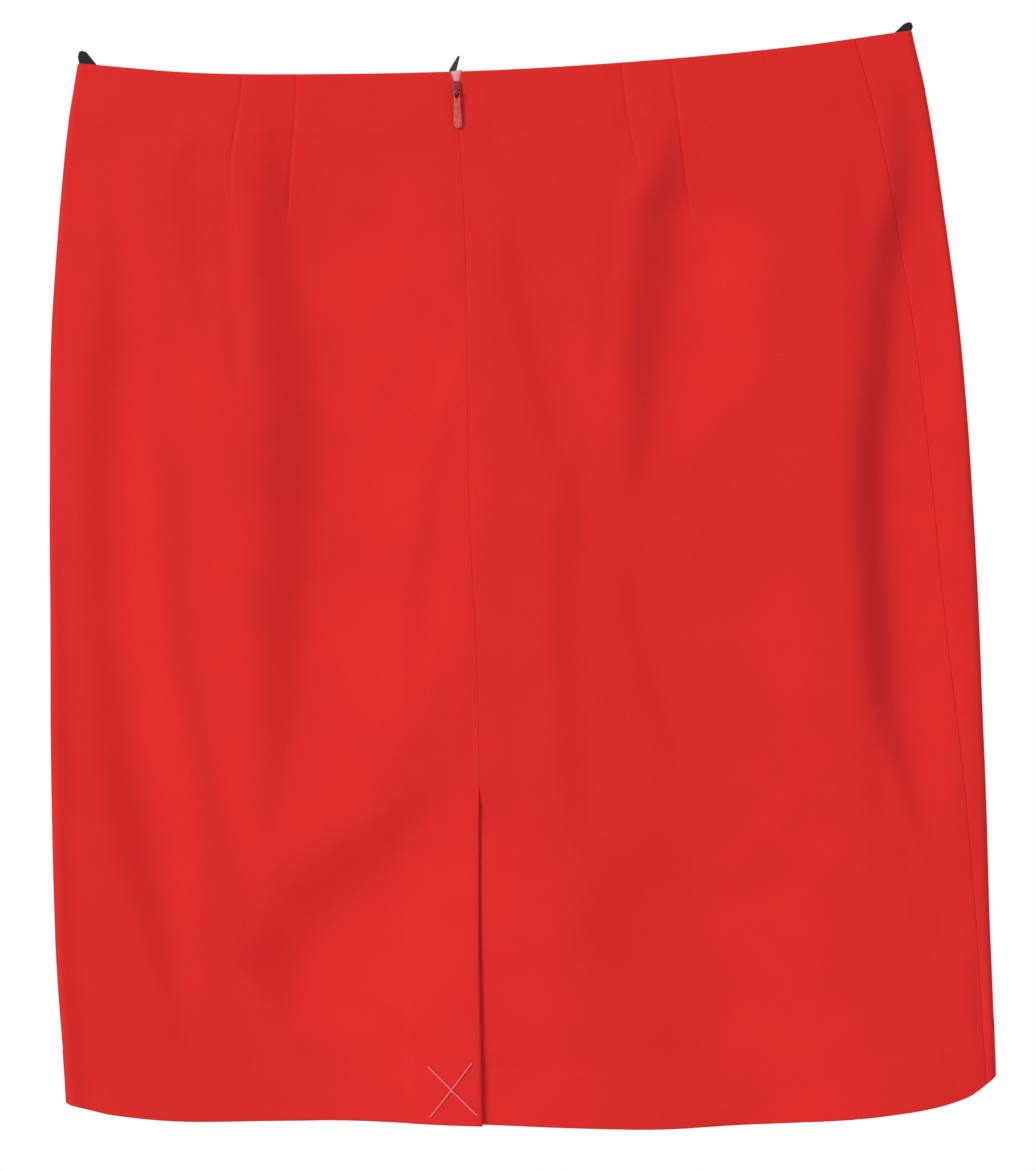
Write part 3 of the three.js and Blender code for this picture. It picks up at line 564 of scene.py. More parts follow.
def layers_under(down, x):
    """How the waist facing shows in the face, and the hem turn-up, which does so less evenly."""
    facing = IMPRINT * (1 - ease((down - FACING_DEEP + 1) / 2))
    turned_up = HEM_IMPRINT * ease((down - HEM_LINE + 1) / 2)
    return facing + turned_up * (0.6 + 0.4 * np.sin(x / 47 + 1))


def seam_relief(distance, seam):
    turned, hollow = seam
    pressed = IMPRINT * (1 - ease((distance - ALLOWANCE) / 2.5))
    return pressed - turned * rolled(distance, ROLL_RADIUS) - bell(distance, hollow, SEAM_HOLLOW)


def lift_flap(x, z, down):
    """The vent's upper edge stands off the layer under it, more towards the hem."""
    near = ease(1 - np.abs(centre_x(z) - x) / FLAP_RUN)
    return -FLAP_LIFT * near * ease((down - VENT_TOP) / FLAP_RISE) * (0.9 + 0.1 * np.sin(down / 31))


def hang(place, rows, set_in):
    """The way down from the waist, the points and the outward directions of a hanging piece's face."""
    down = np.broadcast_to(rows[:, None], place.shape)
    return down, surface(place, down, set_in), outward(place, down, set_in)


def fit(piece, material, solid, body):
    piece.data.materials.append(material)
    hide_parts(solid)
    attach(piece, body)


def sew_panel(name, solid, points, normal, relief, inner, keep=None):
    """A panel of the wool, with both faces at their distances from the hanging cloth's points."""
    panel = cloth_mesh(name, points + normal * relief[..., None], points + normal * inner[..., None], keep)
    fit(panel, wool, solid, "skirt")
    return panel


place = lay(
    [*(beside_seam(-1, True, -SEAM_GAP / 2 - e, down_rows) for e in [0, *NEAR_EDGE]),
     0 * down_rows,
     *(beside_dart(BACK_DARTS[1], False, e, down_rows) for e in NEAR_DART),
     *(beside_dart(BACK_DARTS[0], False, e, down_rows) for e in NEAR_DART),
     beside_centre(-UNDERLAP - BESIDE_LAP, down_rows),
     beside_centre(-UNDERLAP, down_rows),
     *(beside_centre(-notch_half(down_rows) - e, down_rows) for e in [*NEAR_EDGE[::-1], 0])],
    COLUMN_STEP,
)
down, points, normal = hang(place, down_rows, lift_flap)
x, z = points[..., 0], points[..., 2]
from_seam = run_from(points, 1)
from_centre = from_seam[:, -1:] - from_seam
flap_near = below_vent * (1 - ease((from_centre - UNDERLAP) / 2))
wall = np.maximum(wall_at(down), CLOTH + (FLAP - CLOTH) * flap_near)
folded_edge = below_vent * (wall / 2 * rolled(from_centre, FOLD_RADIUS))
turn_in = edge_relief(points, wall)
relief = seam_relief(from_seam, SIDE_SEAM) - turn_in + dart_relief(BACK_DARTS[:2], x, z) + handle_waves(x, z)
relief += layers_under(down, x) + (1 - below_vent) * seam_relief(from_centre, CENTRE_SEAM) - folded_edge
# The underlap below the flap presses through along its edge and its slanted top.
slanted_top = VENT_CORNER[1] - LAP_SLOPE * (VENT_CORNER[0] - x)
over_underlap = np.minimum(x - centre_x(z) + UNDERLAP, slanted_top - z)
relief += LAP_IMPRINT * ease(over_underlap / LAP_SOFT)
inner = -wall + turn_in + folded_edge
left_panel = sew_panel("wool_back_left", "back_panel_left", points, normal, relief, inner)

# Right back panel: the same cloth and the mirror of the left one, but the vent's underlap runs on from
# its centre edge, so its face steps under the flap there and comes level again beside it.
WALL_OF_SOLID = 2
GAP_OF_SOLID = 0.3
LAP_GAP = 0.15
FOLLOWS_FLAP = 0.7  # share of the flap's lift that the cloth under it takes up
LAP_RUN_OUT = 46
LAP_START = 14
LAP_THICKENS = 8  # length above the hem line over which it goes deeper


def step_under(x, z, down):
    near_hem = ease((down - (HEM_LINE - LAP_THICKENS)) / LAP_THICKENS)
    deep = FLAP + (HEMMED - FLAP) * near_hem + LAP_GAP
    beside = 1 - ease((x - centre_x(z)) / LAP_RUN_OUT)
    lap = deep * beside * np.clip((down - VENT_TOP + LAP_START) / LAP_START, 0, 1)
    return lap + FOLLOWS_FLAP * lift_flap(x, z, down)


lap_lines = [beside_centre(-UNDERLAP + e, down_rows) for e in [0, *NEAR_EDGE]]
lap = lay([*lap_lines, beside_centre(notch_half(down_rows), down_rows)], COLUMN_STEP)
place = lay(
    [*lap.T,
     *(beside_centre(notch_half(down_rows) + e, down_rows) for e in NEAR_EDGE),
     *(beside_dart(BACK_DARTS[2], False, e, down_rows) for e in NEAR_DART),
     *(beside_dart(BACK_DARTS[3], False, e, down_rows) for e in NEAR_DART),
     *(beside_seam(1, False, -SEAM_GAP / 2 - e, down_rows) for e in [*NEAR_EDGE[::-1], 0])],
    COLUMN_STEP,
)
centre_column = lap.shape[1] - 1
vent_row = int(np.argmin(np.abs(down_rows - VENT_TOP)))
down, points, normal = hang(place, down_rows, step_under)
x, z = points[..., 0], points[..., 2]
along = run_from(points, 1)
from_seam = along[:, -1:] - along
from_centre = np.abs(along - along[:, centre_column, None])
is_lap = np.arange(len(down_rows))[:, None] >= vent_row
wall = wall_at(down)
lap_edge = is_lap * wall / 2 * rolled(along, wall / 2)
turn_in = edge_relief(points, wall)
relief = seam_relief(from_seam, SIDE_SEAM) - turn_in + dart_relief(BACK_DARTS[2:], x, z) + handle_waves(x, z)
relief += layers_under(down, x) + (1 - below_vent) * seam_relief(from_centre, CENTRE_SEAM) - lap_edge
inner = -wall + turn_in + lap_edge
keep = np.ones((place.shape[0] - 1, place.shape[1] - 1), bool)
keep[:vent_row, :centre_column] = False
right_panel = sew_panel("wool_back_right", "back_panel_right", points, normal, relief, inner, keep)

# Front panel: one piece of the same cloth with a dart at each side of the waist. It wraps onto the back
# at the right, because the skirt hangs turned a little, and its folds lie on the side that isn't seen.
FRONT_COLUMN_STEP = 1.15 * COLUMN_STEP
place = lay(
    [*(beside_seam(1, False, SEAM_GAP / 2 + e, down_rows) for e in [0, *NEAR_EDGE]),
     2 + 0 * down_rows,
     *(beside_dart(FRONT_DARTS[1], True, -e, down_rows) for e in NEAR_DART),
     *(beside_dart(FRONT_DARTS[0], True, -e, down_rows) for e in NEAR_DART),
     *(beside_seam(-1, True, SEAM_GAP / 2 + e, down_rows) + 4 for e in [*NEAR_EDGE[::-1], 0])],
    FRONT_COLUMN_STEP,
)


def level(x, z, down):
    return 0


down, points, normal = hang(place, down_rows, level)
x, z = points[..., 0], points[..., 2]
from_right = run_from(points, 1)
from_left = from_right[:, -1:] - from_right
wall = wall_at(down)
turn_in = edge_relief(points, wall)
relief = seam_relief(from_right, SIDE_SEAM) + seam_relief(from_left, SIDE_SEAM) - turn_in
relief += handle_waves(x, z) + layers_under(down, x)
relief += dart_relief(FRONT_DARTS, x, z) * on_front(place)
front_panel = sew_panel("wool_front", "front_panel", points, normal, relief, turn_in - wall)

# Vent tack: two long stitches of soft pale pink thread, crossed over the flap's lower corner, that hold
# the vent shut until the skirt is worn. Each is two plies twisted together, and dips in at its ends.
TACK_STITCHES = [((-31, -537.3), (-54.6, -567.2)), ((-54.6, -538.3), (-28.9, -566))]
TACK_OUT = 0.72  # from the cloth's face to the middle of the thread
TACK_OVER = 0.7  # more, where the second stitch crosses the first
TACK_SINKS = 1.5
TACK_BEND = 1.6  # length over which a stitch rises or sinks
TACK_STEPS = 90
PLY_RADIUS = 0.29
PLY_TWIST = 3.2  # length of one turn
PLY_SIDES = 7


def on_flap(x, z, out):
    """Points over the outer face of the left back panel."""
    place = place_of(x, z, False)
    top = height_at(place, 0.0)
    down = (top - z) * WAIST_TO_HEM / (top - height_at(place, WAIST_TO_HEM))
    return surface(place, down, lift_flap) + outward(place, down, lift_flap) * np.asarray(out)[..., None]


def tube(centres, radius, sides):
    """Vertices and faces of a closed tube along a row of points."""
    count = len(centres)
    ahead = np.gradient(centres, axis=0)
    ahead /= np.linalg.norm(ahead, axis=1, keepdims=True)
    level_side = np.cross(ahead, (0.0, 1.0, 0.03))
    level_side /= np.linalg.norm(level_side, axis=1, keepdims=True)
    upright = np.cross(level_side, ahead)
    turn = 2 * np.pi * np.arange(sides) / sides
    ring = np.cos(turn)[:, None] * level_side[:, None] + np.sin(turn)[:, None] * upright[:, None]
    vertices = (centres[:, None] + ring * radius).reshape(-1, 3)
    faces = []
    for i in range(count - 1):
        for k in range(sides):
            n = (k + 1) % sides
            faces.append((i * sides + k, i * sides + n, (i + 1) * sides + n, (i + 1) * sides + k))
    faces += [tuple(range(sides))[::-1], tuple((count - 1) * sides + k for k in range(sides))]
    return vertices, faces


def joined_mesh(name, parts, scale=MM):
    vertices, faces = [], []
    for points, polygons in parts:
        start = len(vertices)
        vertices += (np.asarray(points) * scale).tolist()
        faces += [tuple(start + i for i in polygon) for polygon in polygons]
    mesh = bpy.data.meshes.new(name)
    mesh.from_pydata(vertices, [], faces)
    mesh.polygons.foreach_set("use_smooth", np.ones(len(faces), bool))
    piece = bpy.data.objects.new(name, mesh)
    bpy.context.scene.collection.objects.link(piece)
    return piece


plies = []
for number, (start, end) in enumerate(TACK_STITCHES):
    t = np.linspace(0, 1, TACK_STEPS)
    x = start[0] + (end[0] - start[0]) * t
    z = start[1] + (end[1] - start[1]) * t
    length = math.dist(start, end)
    hump = bell((t - 0.5) * length, TACK_OVER * number, TACK_BEND)
    dip = TACK_SINKS * (rolled(t * length, TACK_BEND) + rolled((1 - t) * length, TACK_BEND))
    twist = 2 * np.pi * t * length / PLY_TWIST
    across = np.array([end[1] - start[1], start[0] - end[0]]) / length
    for phase in (0, np.pi):
        side = PLY_RADIUS * np.cos(twist + phase)
        out = TACK_OUT + hump - dip + PLY_RADIUS * np.sin(twist + phase)
        centres = on_flap(x + across[0] * side, z + across[1] * side, out)
        plies.append(tube(centres, PLY_RADIUS, PLY_SIDES))
tack = joined_mesh("vent_tack", plies)
thread = cloth_material(
    "pink_thread", linear(238, 118, 134), linear(216, 84, 102), pitch=0.0003, fuzz=0.6, relief=0.3,
    sheen=0.2, sheen_tint=linear(255, 220, 225), by_object=True,
)
tack.data.materials.append(thread)
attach(tack, "skirt")

# Zip tapes: woven pale pink tape, sewn inside beside the centre back seam, that carries the coil. The
# left tape's end stands up out of the notch, where it was left untrimmed.
TAPE_WALL = 0.8
TAPE_WIDE = 16
TAPE_START = 2
TAPE_LONG = 190
TAPE_IN = WALL_OF_SOLID + GAP_OF_SOLID
RIB_IN = 0.05
RIB_DEEP = 0.08
RIB_TURN = 2.2  # radians in a millimetre
TAPE_ROW_STEP = 2.5
tape_rows = lay([TAPE_START, NOTCH_DEEP, TAPE_LONG], TAPE_ROW_STEP)
pale_tape = cloth_material(
    "pale_zip_tape", linear(238, 182, 180), linear(218, 148, 150), pitch=0.0005, fuzz=0.25, relief=0.5,
    sheen=0.1, sheen_tint=linear(255, 220, 225),
)


def zip_tape(name, side, solid):
    """A tape from its coil edge to its far edge, flat on the inner face of the cloth."""
    edges = (notch_half(tape_rows) * side, TAPE_WIDE * side + 0 * tape_rows)
    place = lay([beside_centre(edge, tape_rows) for edge in edges], COLUMN_STEP / 2)
    points, normal = hang(place, tape_rows, level)[1:]
    ribs = RIB_DEEP * np.cos(run_from(points, 1) * RIB_TURN)[..., None]
    near, far = points - normal * (TAPE_IN + RIB_IN + ribs), points - normal * (TAPE_IN + TAPE_WALL)
    if side < 0:
        near, far = near[:, ::-1], far[:, ::-1]
    tape = cloth_mesh(name, near, far)
    fit(tape, pale_tape, solid, "skirt")


zip_tape("tape_left", -1, "zip_tape_left")
zip_tape("tape_right", 1, "zip_tape_right")

# Zip coil: a spiral of dark red nylon along the inner edge of each tape. The two are closed below the
# slider, where they sit behind the seam, and part above it.
COIL_PITCH = 1.25
COIL_BESIDE = 0.7625  # from the tape's edge to the middle of the spiral
COIL_IN = 1.7  # from the tape's face to it
COIL_HALF_WIDE = 0.525
COIL_HALF_DEEP = 0.675
COIL_WIRE = 0.28
COIL_SIDES = 6
COIL_STEPS = 10  # in a turn
COIL_START = TAPE_START + 1.5
COIL_LONG = TAPE_LONG - TAPE_START - 4
coils = []
for side in (-1, 1):
    t = np.linspace(0, COIL_LONG, int(COIL_LONG / COIL_PITCH * COIL_STEPS))
    down = COIL_START + t
    turn = 2 * np.pi * t / COIL_PITCH + (0 if side > 0 else np.pi)
    place = beside_centre(side * (notch_half(down) + COIL_BESIDE + COIL_HALF_WIDE * np.cos(turn)), down)
    deep = TAPE_IN + COIL_IN + COIL_HALF_DEEP * np.sin(turn)
    centres = surface(place, down, level) - outward(place, down, level) * deep[..., None]
    coils.append(tube(centres, COIL_WIRE, COIL_SIDES))
coil = joined_mesh("zip_coil", coils)

# Worn enamel: colour over metal, thinned on the raised edges and in small chips.
worn, given, put_out = new_group(
    "worn_enamel",
    [("Place", "Vector", None), ("Enamel", "Color", (1, 1, 1, 1)), ("Metal", "Color", (1, 1, 1, 1)),
     ("Wear", "Float", 0.5), ("Gloss", "Float", 0.4)],
    [("Color", "Color"), ("Metallic", "Float"), ("Roughness", "Float"), ("Height", "Float")],
)
shape = worn.nodes.new("ShaderNodeNewGeometry")
chips = add_node(worn, "TexNoise", {"Vector": given.outputs["Place"], "Scale": 1400.0, "Detail": 5.0})
smears = add_node(worn, "TexNoise", {"Vector": given.outputs["Place"], "Scale": 420.0, "Detail": 2.0})
edges = add_node(worn, "MapRange", {0: shape.outputs["Pointiness"], 1: 0.5, 2: 0.62, 3: 0.0, 4: 0.55})
chipped = add_node(worn, "Math", {0: chips.outputs["Fac"], 1: edges.outputs[0]}, operation="ADD")
chipped = add_node(worn, "Math", {0: chipped.outputs[0], 1: given.outputs["Wear"]}, operation="ADD")
bare = add_node(worn, "MapRange", {0: chipped.outputs[0], 1: 1.05, 2: 1.25, 3: 0.0, 4: 1.0})
patchy = add_node(worn, "MapRange", {0: smears.outputs["Fac"], 1: 0.3, 2: 0.7, 3: 0.75, 4: 1.15})
enamel = {0: given.outputs["Enamel"], "Scale": patchy.outputs[0]}
enamel = add_node(worn, "VectorMath", enamel, operation="SCALE")
colour = {0: bare.outputs[0], 6: enamel.outputs[0], 7: given.outputs["Metal"]}
colour = add_node(worn, "Mix", colour, data_type="RGBA")
gloss = add_node(worn, "Math", {0: patchy.outputs[0], 1: given.outputs["Gloss"]}, operation="MULTIPLY")
sunk = add_node(worn, "Math", {0: 1.0, 1: bare.outputs[0]}, operation="SUBTRACT")
worn.links.new(colour.outputs[2], put_out.inputs["Color"])
worn.links.new(bare.outputs[0], put_out.inputs["Metallic"])
worn.links.new(gloss.outputs[0], put_out.inputs["Roughness"])
worn.links.new(sunk.outputs[0], put_out.inputs["Height"])


def enamel_material(name, enamel, metal, wear, gloss):
    material, tree, shader = new_material(name)
    place = add_node(tree, "TexCoord").outputs["Object"]
    finish = {"Place": place, "Enamel": enamel, "Metal": metal, "Wear": wear, "Gloss": gloss}
    finish = add_node(tree, "Group", finish, node_tree=worn)
    bump = {"Height": finish.outputs["Height"], "Strength": 0.4, "Distance": 0.00008}
    bump = add_node(tree, "Bump", bump)
    tree.links.new(finish.outputs["Color"], shader.inputs["Base Color"])
    tree.links.new(finish.outputs["Metallic"], shader.inputs["Metallic"])
    tree.links.new(finish.outputs["Roughness"], shader.inputs["Roughness"])
    tree.links.new(bump.outputs[0], shader.inputs["Normal"])
    return material


coil_nylon = enamel_material("coil_nylon", linear(150, 28, 36), linear(170, 60, 66), wear=-0.2, gloss=0.5)
coil.data.materials.append(coil_nylon)
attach(coil, "skirt")

# Zip slider: a small die-cast body in dark red enamel, with a plate in front of the seam, a plate behind
# the coil, a neck between them and an arched bridge that holds the pull tab.
PIVOT_DOWN = 11
ZIP_STRETCH = (3, 33)  # of the seam, along which the slider and the tab lie
SLIDER = {"half_wide": 2.3, "low": -2.2, "high": 5.8, "corner": 1.4}
RAISED = {"half_wide": 1.5, "low": -1.5, "high": 5.0, "corner": 1.0}
NECK = {"half_wide": 0.5, "low": 3.2, "high": 5.4, "corner": 0.3}
NECK_IN_PLATES = 1
FRONT_THICK = 1.2
RAISED_THICK = 0.7
RAISED_OUT = 0.05
BACK_THICK = 1
BRIDGE = {"half_wide": 0.6, "inner": 1.05, "outer": 1.75, "crown_in": 0.8, "crown_out": 1}
PIVOT_OUT = GAP_OF_SOLID + FRONT_THICK + BRIDGE["inner"]
TAPE_WALL_OF_SOLID = 1
BEHIND_TAPE = WALL_OF_SOLID + 2 * GAP_OF_SOLID + TAPE_WALL_OF_SOLID
WELD = 0.004
SHARP_FROM = math.radians(38)


def seam_point(down):
    return surface(beside_centre(0, np.array([down])), np.array([float(down)]), level)[0]


zip_along = seam_point(ZIP_STRETCH[0]) - seam_point(ZIP_STRETCH[1])
zip_lean = math.atan2(zip_along[1], zip_along[2])
zip_frame = Matrix.Translation(Vector(seam_point(PIVOT_DOWN) * MM)) @ Matrix.Rotation(-zip_lean, 4, "X")
STAND_UP = Matrix.Rotation(math.pi / 2, 4, "X")  # drawn in x and z, with its thickness along y
SIDEWAYS = Matrix.Rotation(math.pi / 2, 4, "Z") @ STAND_UP  # drawn in y and z, with its thickness along x


def arc(mid_x, mid_z, radius, start, end, steps=7):
    turn = np.radians(np.linspace(start, end, steps))
    return [(mid_x + radius * math.cos(a), mid_z + radius * math.sin(a)) for a in turn]


def rounded(half_wide, low, high, corner):
    x = half_wide - corner
    return [*arc(x, low + corner, corner, -90, 0), *arc(x, high - corner, corner, 0, 90),
            *arc(-x, high - corner, corner, 90, 180), *arc(-x, low + corner, corner, 180, 270)]


def arch(half, crown, cut, steps):
    """A low arch in front of the slider, with the given angle cut off at both ends."""
    turn = np.linspace(cut, math.pi - cut, steps)
    return [(crown - PIVOT_OUT - half - crown * math.sin(a), -half * math.cos(a)) for a in turn]


def plate(outlines, thick, bevel, stand=STAND_UP):
    """A flat piece with rounded edges. The first outline is its rim and the others are holes."""
    curve = bpy.data.curves.new("outline", "CURVE")
    curve.dimensions = "2D"
    curve.fill_mode = "BOTH"
    for outline in outlines:
        spline = curve.splines.new("POLY")
        spline.points.add(len(outline) - 1)
        for point, (across, up) in zip(spline.points, outline):
            point.co = (across, up, 0, 1)
        spline.use_cyclic_u = True
    curve.extrude = thick / 2 - bevel
    curve.bevel_depth = bevel
    curve.bevel_resolution = 3
    curve.offset = -bevel
    drawn = bpy.data.objects.new("outline", curve)
    bpy.context.scene.collection.objects.link(drawn)
    mesh = bpy.data.meshes.new_from_object(drawn.evaluated_get(bpy.context.evaluated_depsgraph_get()))
    bpy.data.objects.remove(drawn)
    mesh.transform(stand)
    vertices = np.array([v.co for v in mesh.vertices])
    return vertices, [tuple(polygon.vertices) for polygon in mesh.polygons]


def moved(part, y):
    return part[0] + np.array([0, y, 0]), part[1]


def hard_piece(name, parts, place, material, body, solid):
    piece = joined_mesh(name, parts)
    mesh = piece.data
    mesh.transform(place)
    welded = bmesh.new()
    welded.from_mesh(mesh)
    bmesh.ops.remove_doubles(welded, verts=welded.verts, dist=WELD * MM)
    bmesh.ops.recalc_face_normals(welded, faces=welded.faces)
    welded.to_mesh(mesh)
    welded.free()
    mesh.set_sharp_from_angle(angle=SHARP_FROM)
    fit(piece, material, solid, body)
    return piece


front_plate = plate([rounded(**SLIDER)], FRONT_THICK, bevel=0.4)
back_plate = plate([rounded(**SLIDER)], BACK_THICK, bevel=0.35)
raised = plate([rounded(**RAISED)], RAISED_THICK, bevel=0.3)
neck = plate([rounded(**NECK)], BEHIND_TAPE + GAP_OF_SOLID + NECK_IN_PLATES, bevel=0.1)
foot, outer, inner = -FRONT_THICK, BRIDGE["outer"], BRIDGE["inner"]
bridge_outline = [
    (foot, -outer), *arch(outer, BRIDGE["crown_out"], cut=0.3, steps=11), (foot, outer),
    (foot, inner), *arch(inner, BRIDGE["crown_in"], cut=0.2, steps=9)[::-1], (foot, -inner),
]
bridge = plate([bridge_outline], 2 * BRIDGE["half_wide"], bevel=0.18, stand=SIDEWAYS)
slider_enamel = enamel_material(
    "slider_enamel", linear(150, 24, 40), linear(170, 130, 128), wear=0.1, gloss=0.38
)
hard_piece(
    "slider",
    [moved(front_plate, -GAP_OF_SOLID - FRONT_THICK / 2),
     moved(raised, -GAP_OF_SOLID - FRONT_THICK - RAISED_OUT),
     moved(back_plate, BEHIND_TAPE + BACK_THICK / 2),
     moved(neck, (BEHIND_TAPE - GAP_OF_SOLID) / 2), bridge],
    zip_frame, slider_enamel, "skirt", "zip_slider",
)

# Pull tab: a flat drop of metal in worn enamel, red lightened to a dull pink that is partly painted
# reflection. The bar above its eye passes under the slider's bridge, and the tab hangs from it and swings up.
PULL = {"bar": 0.5, "eye_half": 1, "eye_low": -2.8, "ring_half": 1.6, "shoulder": -4, "belly": -9.5,
        "length": 18.5, "thick": 1, "half_wide": 2.15, "corner": 0.3}
TAB_EYE_END = (0, -2.7, 0.8)  # centre and radius of the eye's round end
PULL_LEAN = math.radians(4)
FACE = {"wide": 0.72, "long": 0.86, "down": 1.9, "thick": 0.4, "out": 0.42}  # raised, as a smaller drop


def bezier(points, steps=9):
    t = np.linspace(0, 1, steps)[:, None]
    a, b, c, d = (np.array(p, float) for p in points)
    drawn = a * (1 - t) ** 3 + 3 * b * t * (1 - t) ** 2 + 3 * c * t**2 * (1 - t) + d * t**3
    return [tuple(p) for p in drawn]


bar, eye, eye_low = PULL["bar"], PULL["eye_half"], PULL["eye_low"]
ring, wide, corner = PULL["ring_half"], PULL["half_wide"], PULL["corner"]
shoulder, belly, low_round = PULL["shoulder"], PULL["belly"], wide - PULL["length"]
narrowing = shoulder - (shoulder - belly) / 3
drop_outline = [
    (ring - corner, bar), (corner - ring, bar), (-ring, bar - corner),
    *bezier([(-ring, shoulder), (-ring, narrowing), (-wide, belly), (-wide, low_round)])[:-1],
    *arc(0, low_round, wide, 180, 360, 15),
    *bezier([(wide, low_round), (wide, belly), (ring, narrowing), (ring, shoulder)])[1:],
    (ring, bar - corner),
]
eye_hole = [(eye, -bar), (eye, eye_low), *arc(*TAB_EYE_END, -20, -160), (-eye, eye_low), (-eye, -bar)]
face_outline = [(FACE["wide"] * x, FACE["long"] * z - FACE["down"]) for x, z in drop_outline if z < shoulder]
drop = plate([drop_outline, eye_hole], PULL["thick"], bevel=0.28)
face = plate([face_outline], FACE["thick"], bevel=0.15)
pull_frame = zip_frame @ Matrix.Translation((0, -PIVOT_OUT * MM, 0)) @ Matrix.Rotation(PULL_LEAN, 4, "X")
# Its dull pink enamel colour is red with a painted reflection mixed into it.
pull_enamel = enamel_material(
    "pull_enamel", linear(206, 82, 80), linear(206, 160, 156), wear=0.2, gloss=0.42
)
hard_piece(
    "pull_tab", [drop, moved(face, -FACE["out"])],
    pull_frame, pull_enamel, "pull_tab", "zip_pull",
)

# Hook and eye: blackened pressed metal, sewn to the tapes inside the top of the zip. The hook's pointed
# tongue leans over the gap and stands above the waist edge, behind the pale tape end.
HOOK_THICK = 1
HOOK_IN = BEHIND_TAPE + HOOK_THICK / 2
TONGUE = [(-9, 3.4), (-3, 3.4), (-1.2, 8.6), (-0.2, 10.6), (2.2, 19.2), (1.2, 19.4), (-3.4, 12.6), (-4.2, 9),
          (-9, 8.4)]
STITCH_HOLES = [arc(-7.6, 5.9, 0.7, 0, 330, 10), arc(-4.9, 5.9, 0.7, 0, 330, 10)]
EYE_RIM = [(3.2, 3.4), (10, 3.4), (10, 8.6), (3.2, 8.6)]
EYE_HOLE = [(4.4, 4.6), (4.4, 7.4), (8.6, 7.4), (8.6, 4.6)]
hook_metal = enamel_material(
    "blackened_metal", linear(52, 42, 52), linear(110, 100, 104), wear=0.12, gloss=0.45
)
for name, solid, outlines in (
    ("waist_hook_metal", "waist_hook", [TONGUE, *STITCH_HOLES]),
    ("waist_eye_metal", "waist_eye", [EYE_RIM, EYE_HOLE]),
):
    pressed = moved(plate(outlines, HOOK_THICK, bevel=0.3), HOOK_IN)
    hard_piece(name, [pressed], zip_frame, hook_metal, "skirt", solid)

# Tape end: the top of the left zip tape, of the same pale pink weave. It was never trimmed or turned in,
# so it stands up out of the notch in front of the hook, a little curled across and cut aslant.
END_LOW = 4.6  # above the pull tab's pivot
END_TALL = 6.8
END_HALF = 3.4
END_NARROWS = 0.4
END_X = -1.4
END_LEANS = 1.5
END_SLANT = 0.5
END_IN = 0.6
END_CURL = 0.35
END_WAVE = 0.2
up = np.linspace(0, 1, 16)[:, None]
across = np.linspace(-1, 1, 9)[None, :]
end_x = END_X + END_LEANS * up + across * (END_HALF - END_NARROWS * up)
end_y = END_IN + END_CURL * across**2 + END_WAVE * np.sin(5 * up)
end_z = END_LOW + END_TALL * up + END_SLANT * across * up
end_face = np.stack([end_x, end_y, end_z], -1)[::-1]
tape_end = cloth_mesh("tape_end", end_face, end_face + np.array([0, TAPE_WALL, 0]))
tape_end.data.transform(zip_frame)
tape_end.data.materials.append(pale_tape)
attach(tape_end, "skirt")

# Hanging loops: narrow black tape folded double and caught in each waist corner. Only the tops show,
# pulled into a point by the hook that the loop hangs on.
LOOP_LAYER = 0.9
LOOP_DOWN = 24
LOOPS = {
    "hanger_loop_left": (-1, [
        (213.4, -LOOP_DOWN), (213.4, -7.2), (216.4, -6.7), (216.9, -3.2), (216.2, -0.8), (214.8, 0),
        (212.4, -0.8), (207.6, -7.2), (206.8, -LOOP_DOWN),
    ]),
    "hanger_loop_right": (1, [
        (213.4, -LOOP_DOWN), (213.4, -5.2), (216.7, -4.7), (217.5, -2.4), (216.9, -0.7), (215.4, 0),
        (212.8, -1.0), (206.8, -6.2), (205.8, -LOOP_DOWN),
    ]),
}
black_tape = cloth_material(
    "black_loop_tape", linear(48, 42, 56), linear(28, 24, 32), pitch=0.00045, fuzz=0.2, relief=0.6,
    sheen=0.12, sheen_tint=linear(150, 150, 160), by_object=True,
)
for solid, (side, outline) in LOOPS.items():
    layer = plate([[(side * x, z) for x, z in outline]], LOOP_LAYER, bevel=0.3)
    loop = hard_piece(
        solid + "_tape", [moved(layer, -LOOP_LAYER / 2), moved(layer, LOOP_LAYER / 2)],
        Matrix.Identity(4), black_tape, "skirt", solid,
    )

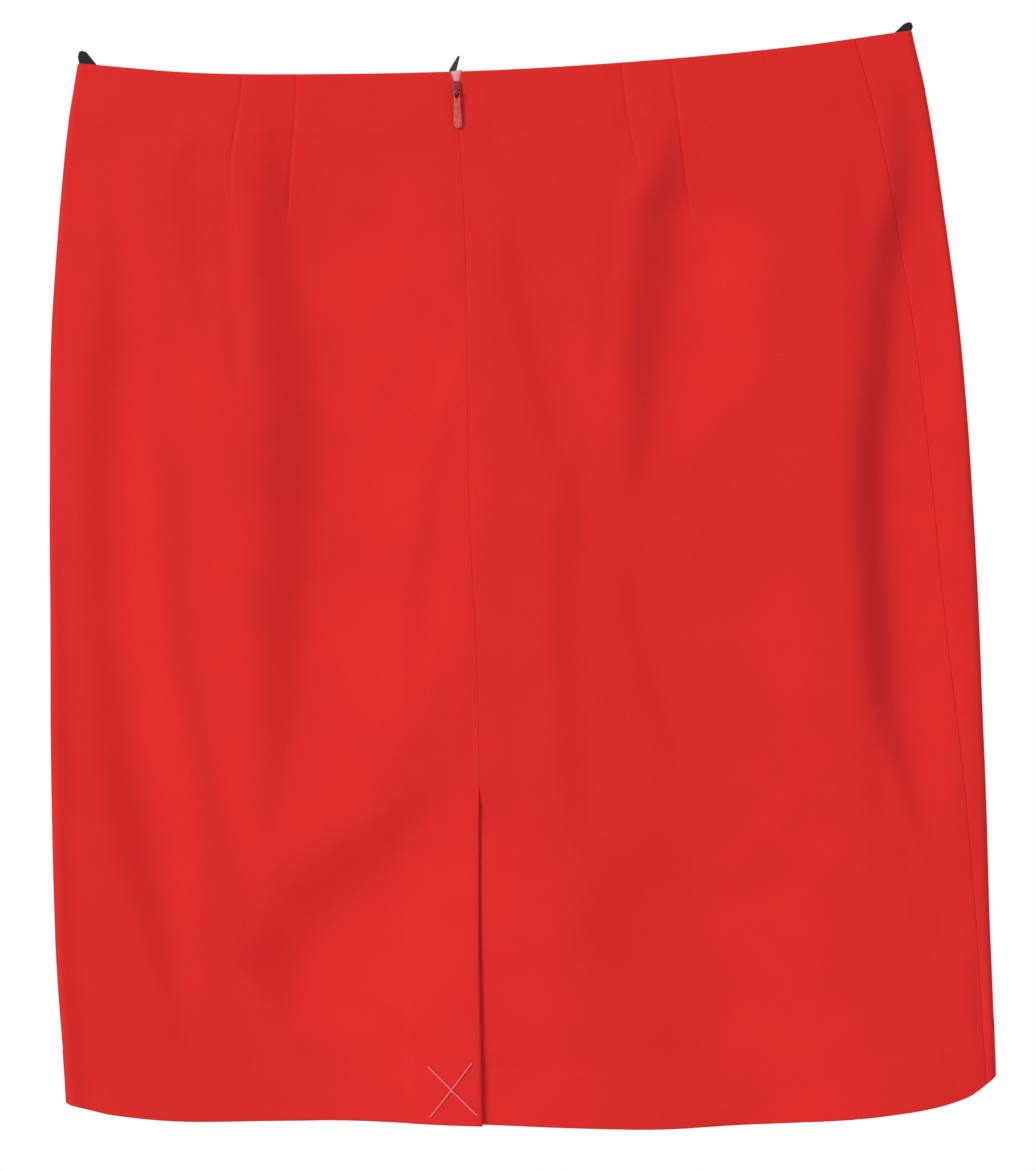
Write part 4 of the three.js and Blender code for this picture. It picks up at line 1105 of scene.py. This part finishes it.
# Studio: a pale floor well below the skirt, a soft key light from the upper left, weaker light from the
# right and from behind, and a camera at the height of the hips, rolled two degrees as in the photograph.
FLOOR_Z = -1.05
FLOOR_THICK = 0.02
FLOOR_RADIUS = 0.9
floor_line = np.array([[0, 0, FLOOR_Z], [0, 0, FLOOR_Z - FLOOR_THICK]])
floor = joined_mesh("floor", [tube(floor_line, FLOOR_RADIUS, 96)], 1.0)
floor_paint, _, shader = new_material("pale_floor")
shader.inputs["Base Color"].default_value = (0.82, 0.82, 0.82, 1)
shader.inputs["Roughness"].default_value = 0.7
floor.data.materials.append(floor_paint)

LIGHTS = [
    ("key", (-1.05, -1, 0.7), 24, 2.25, (1, 0.96, 0.91)),
    ("fill", (1.2, -1, -0.1), 40, 0.55, (0.93, 0.95, 1)),
    ("rear", (0.6, 1, 0.5), 30, 1.0, (1, 0.98, 0.96)),
]
for name, towards, spread, strength, colour in LIGHTS:
    lamp = bpy.data.lights.new(name, "SUN")
    lamp.angle = math.radians(spread)
    lamp.energy = strength
    lamp.color = colour
    light = bpy.data.objects.new(name, lamp)
    light.rotation_euler = (-Vector(towards)).to_track_quat("-Z", "Y").to_euler()
    bpy.context.scene.collection.objects.link(light)

world = bpy.data.worlds.new("studio")
world.use_nodes = True
bpy.context.scene.world = world
tree = world.node_tree
backdrop = tree.nodes["Background"]
backdrop.inputs["Color"].default_value = (1, 1, 1, 1)
seen = add_node(tree, "LightPath")
strength = add_node(tree, "MapRange", {0: seen.outputs["Is Camera Ray"], 1: 0.0, 2: 1.0, 3: 0.42, 4: 1.0})
tree.links.new(strength.outputs[0], backdrop.inputs["Strength"])

CAMERA_AT = Vector((0, -1.5, -0.156))
LOOKS_AT = Vector((0.00215, 0, -0.28685))
ROLL = math.radians(2.0)
LENS = 87.56
lens = bpy.data.cameras.new("camera")
lens.lens = LENS
camera = bpy.data.objects.new("camera", lens)
ahead = (LOOKS_AT - CAMERA_AT).normalized()
right = ahead.cross(Vector((0, 0, 1))).normalized()
up = right.cross(ahead)
axis_x = right * math.cos(ROLL) - up * math.sin(ROLL)
axis_y = right * math.sin(ROLL) + up * math.cos(ROLL)
turned = Matrix((axis_x, axis_y, -ahead)).transposed().to_4x4()
camera.matrix_world = Matrix.Translation(CAMERA_AT) @ turned
bpy.context.scene.collection.objects.link(camera)
bpy.context.scene.camera = camera
bpy.context.scene.view_settings.view_transform = "Standard"
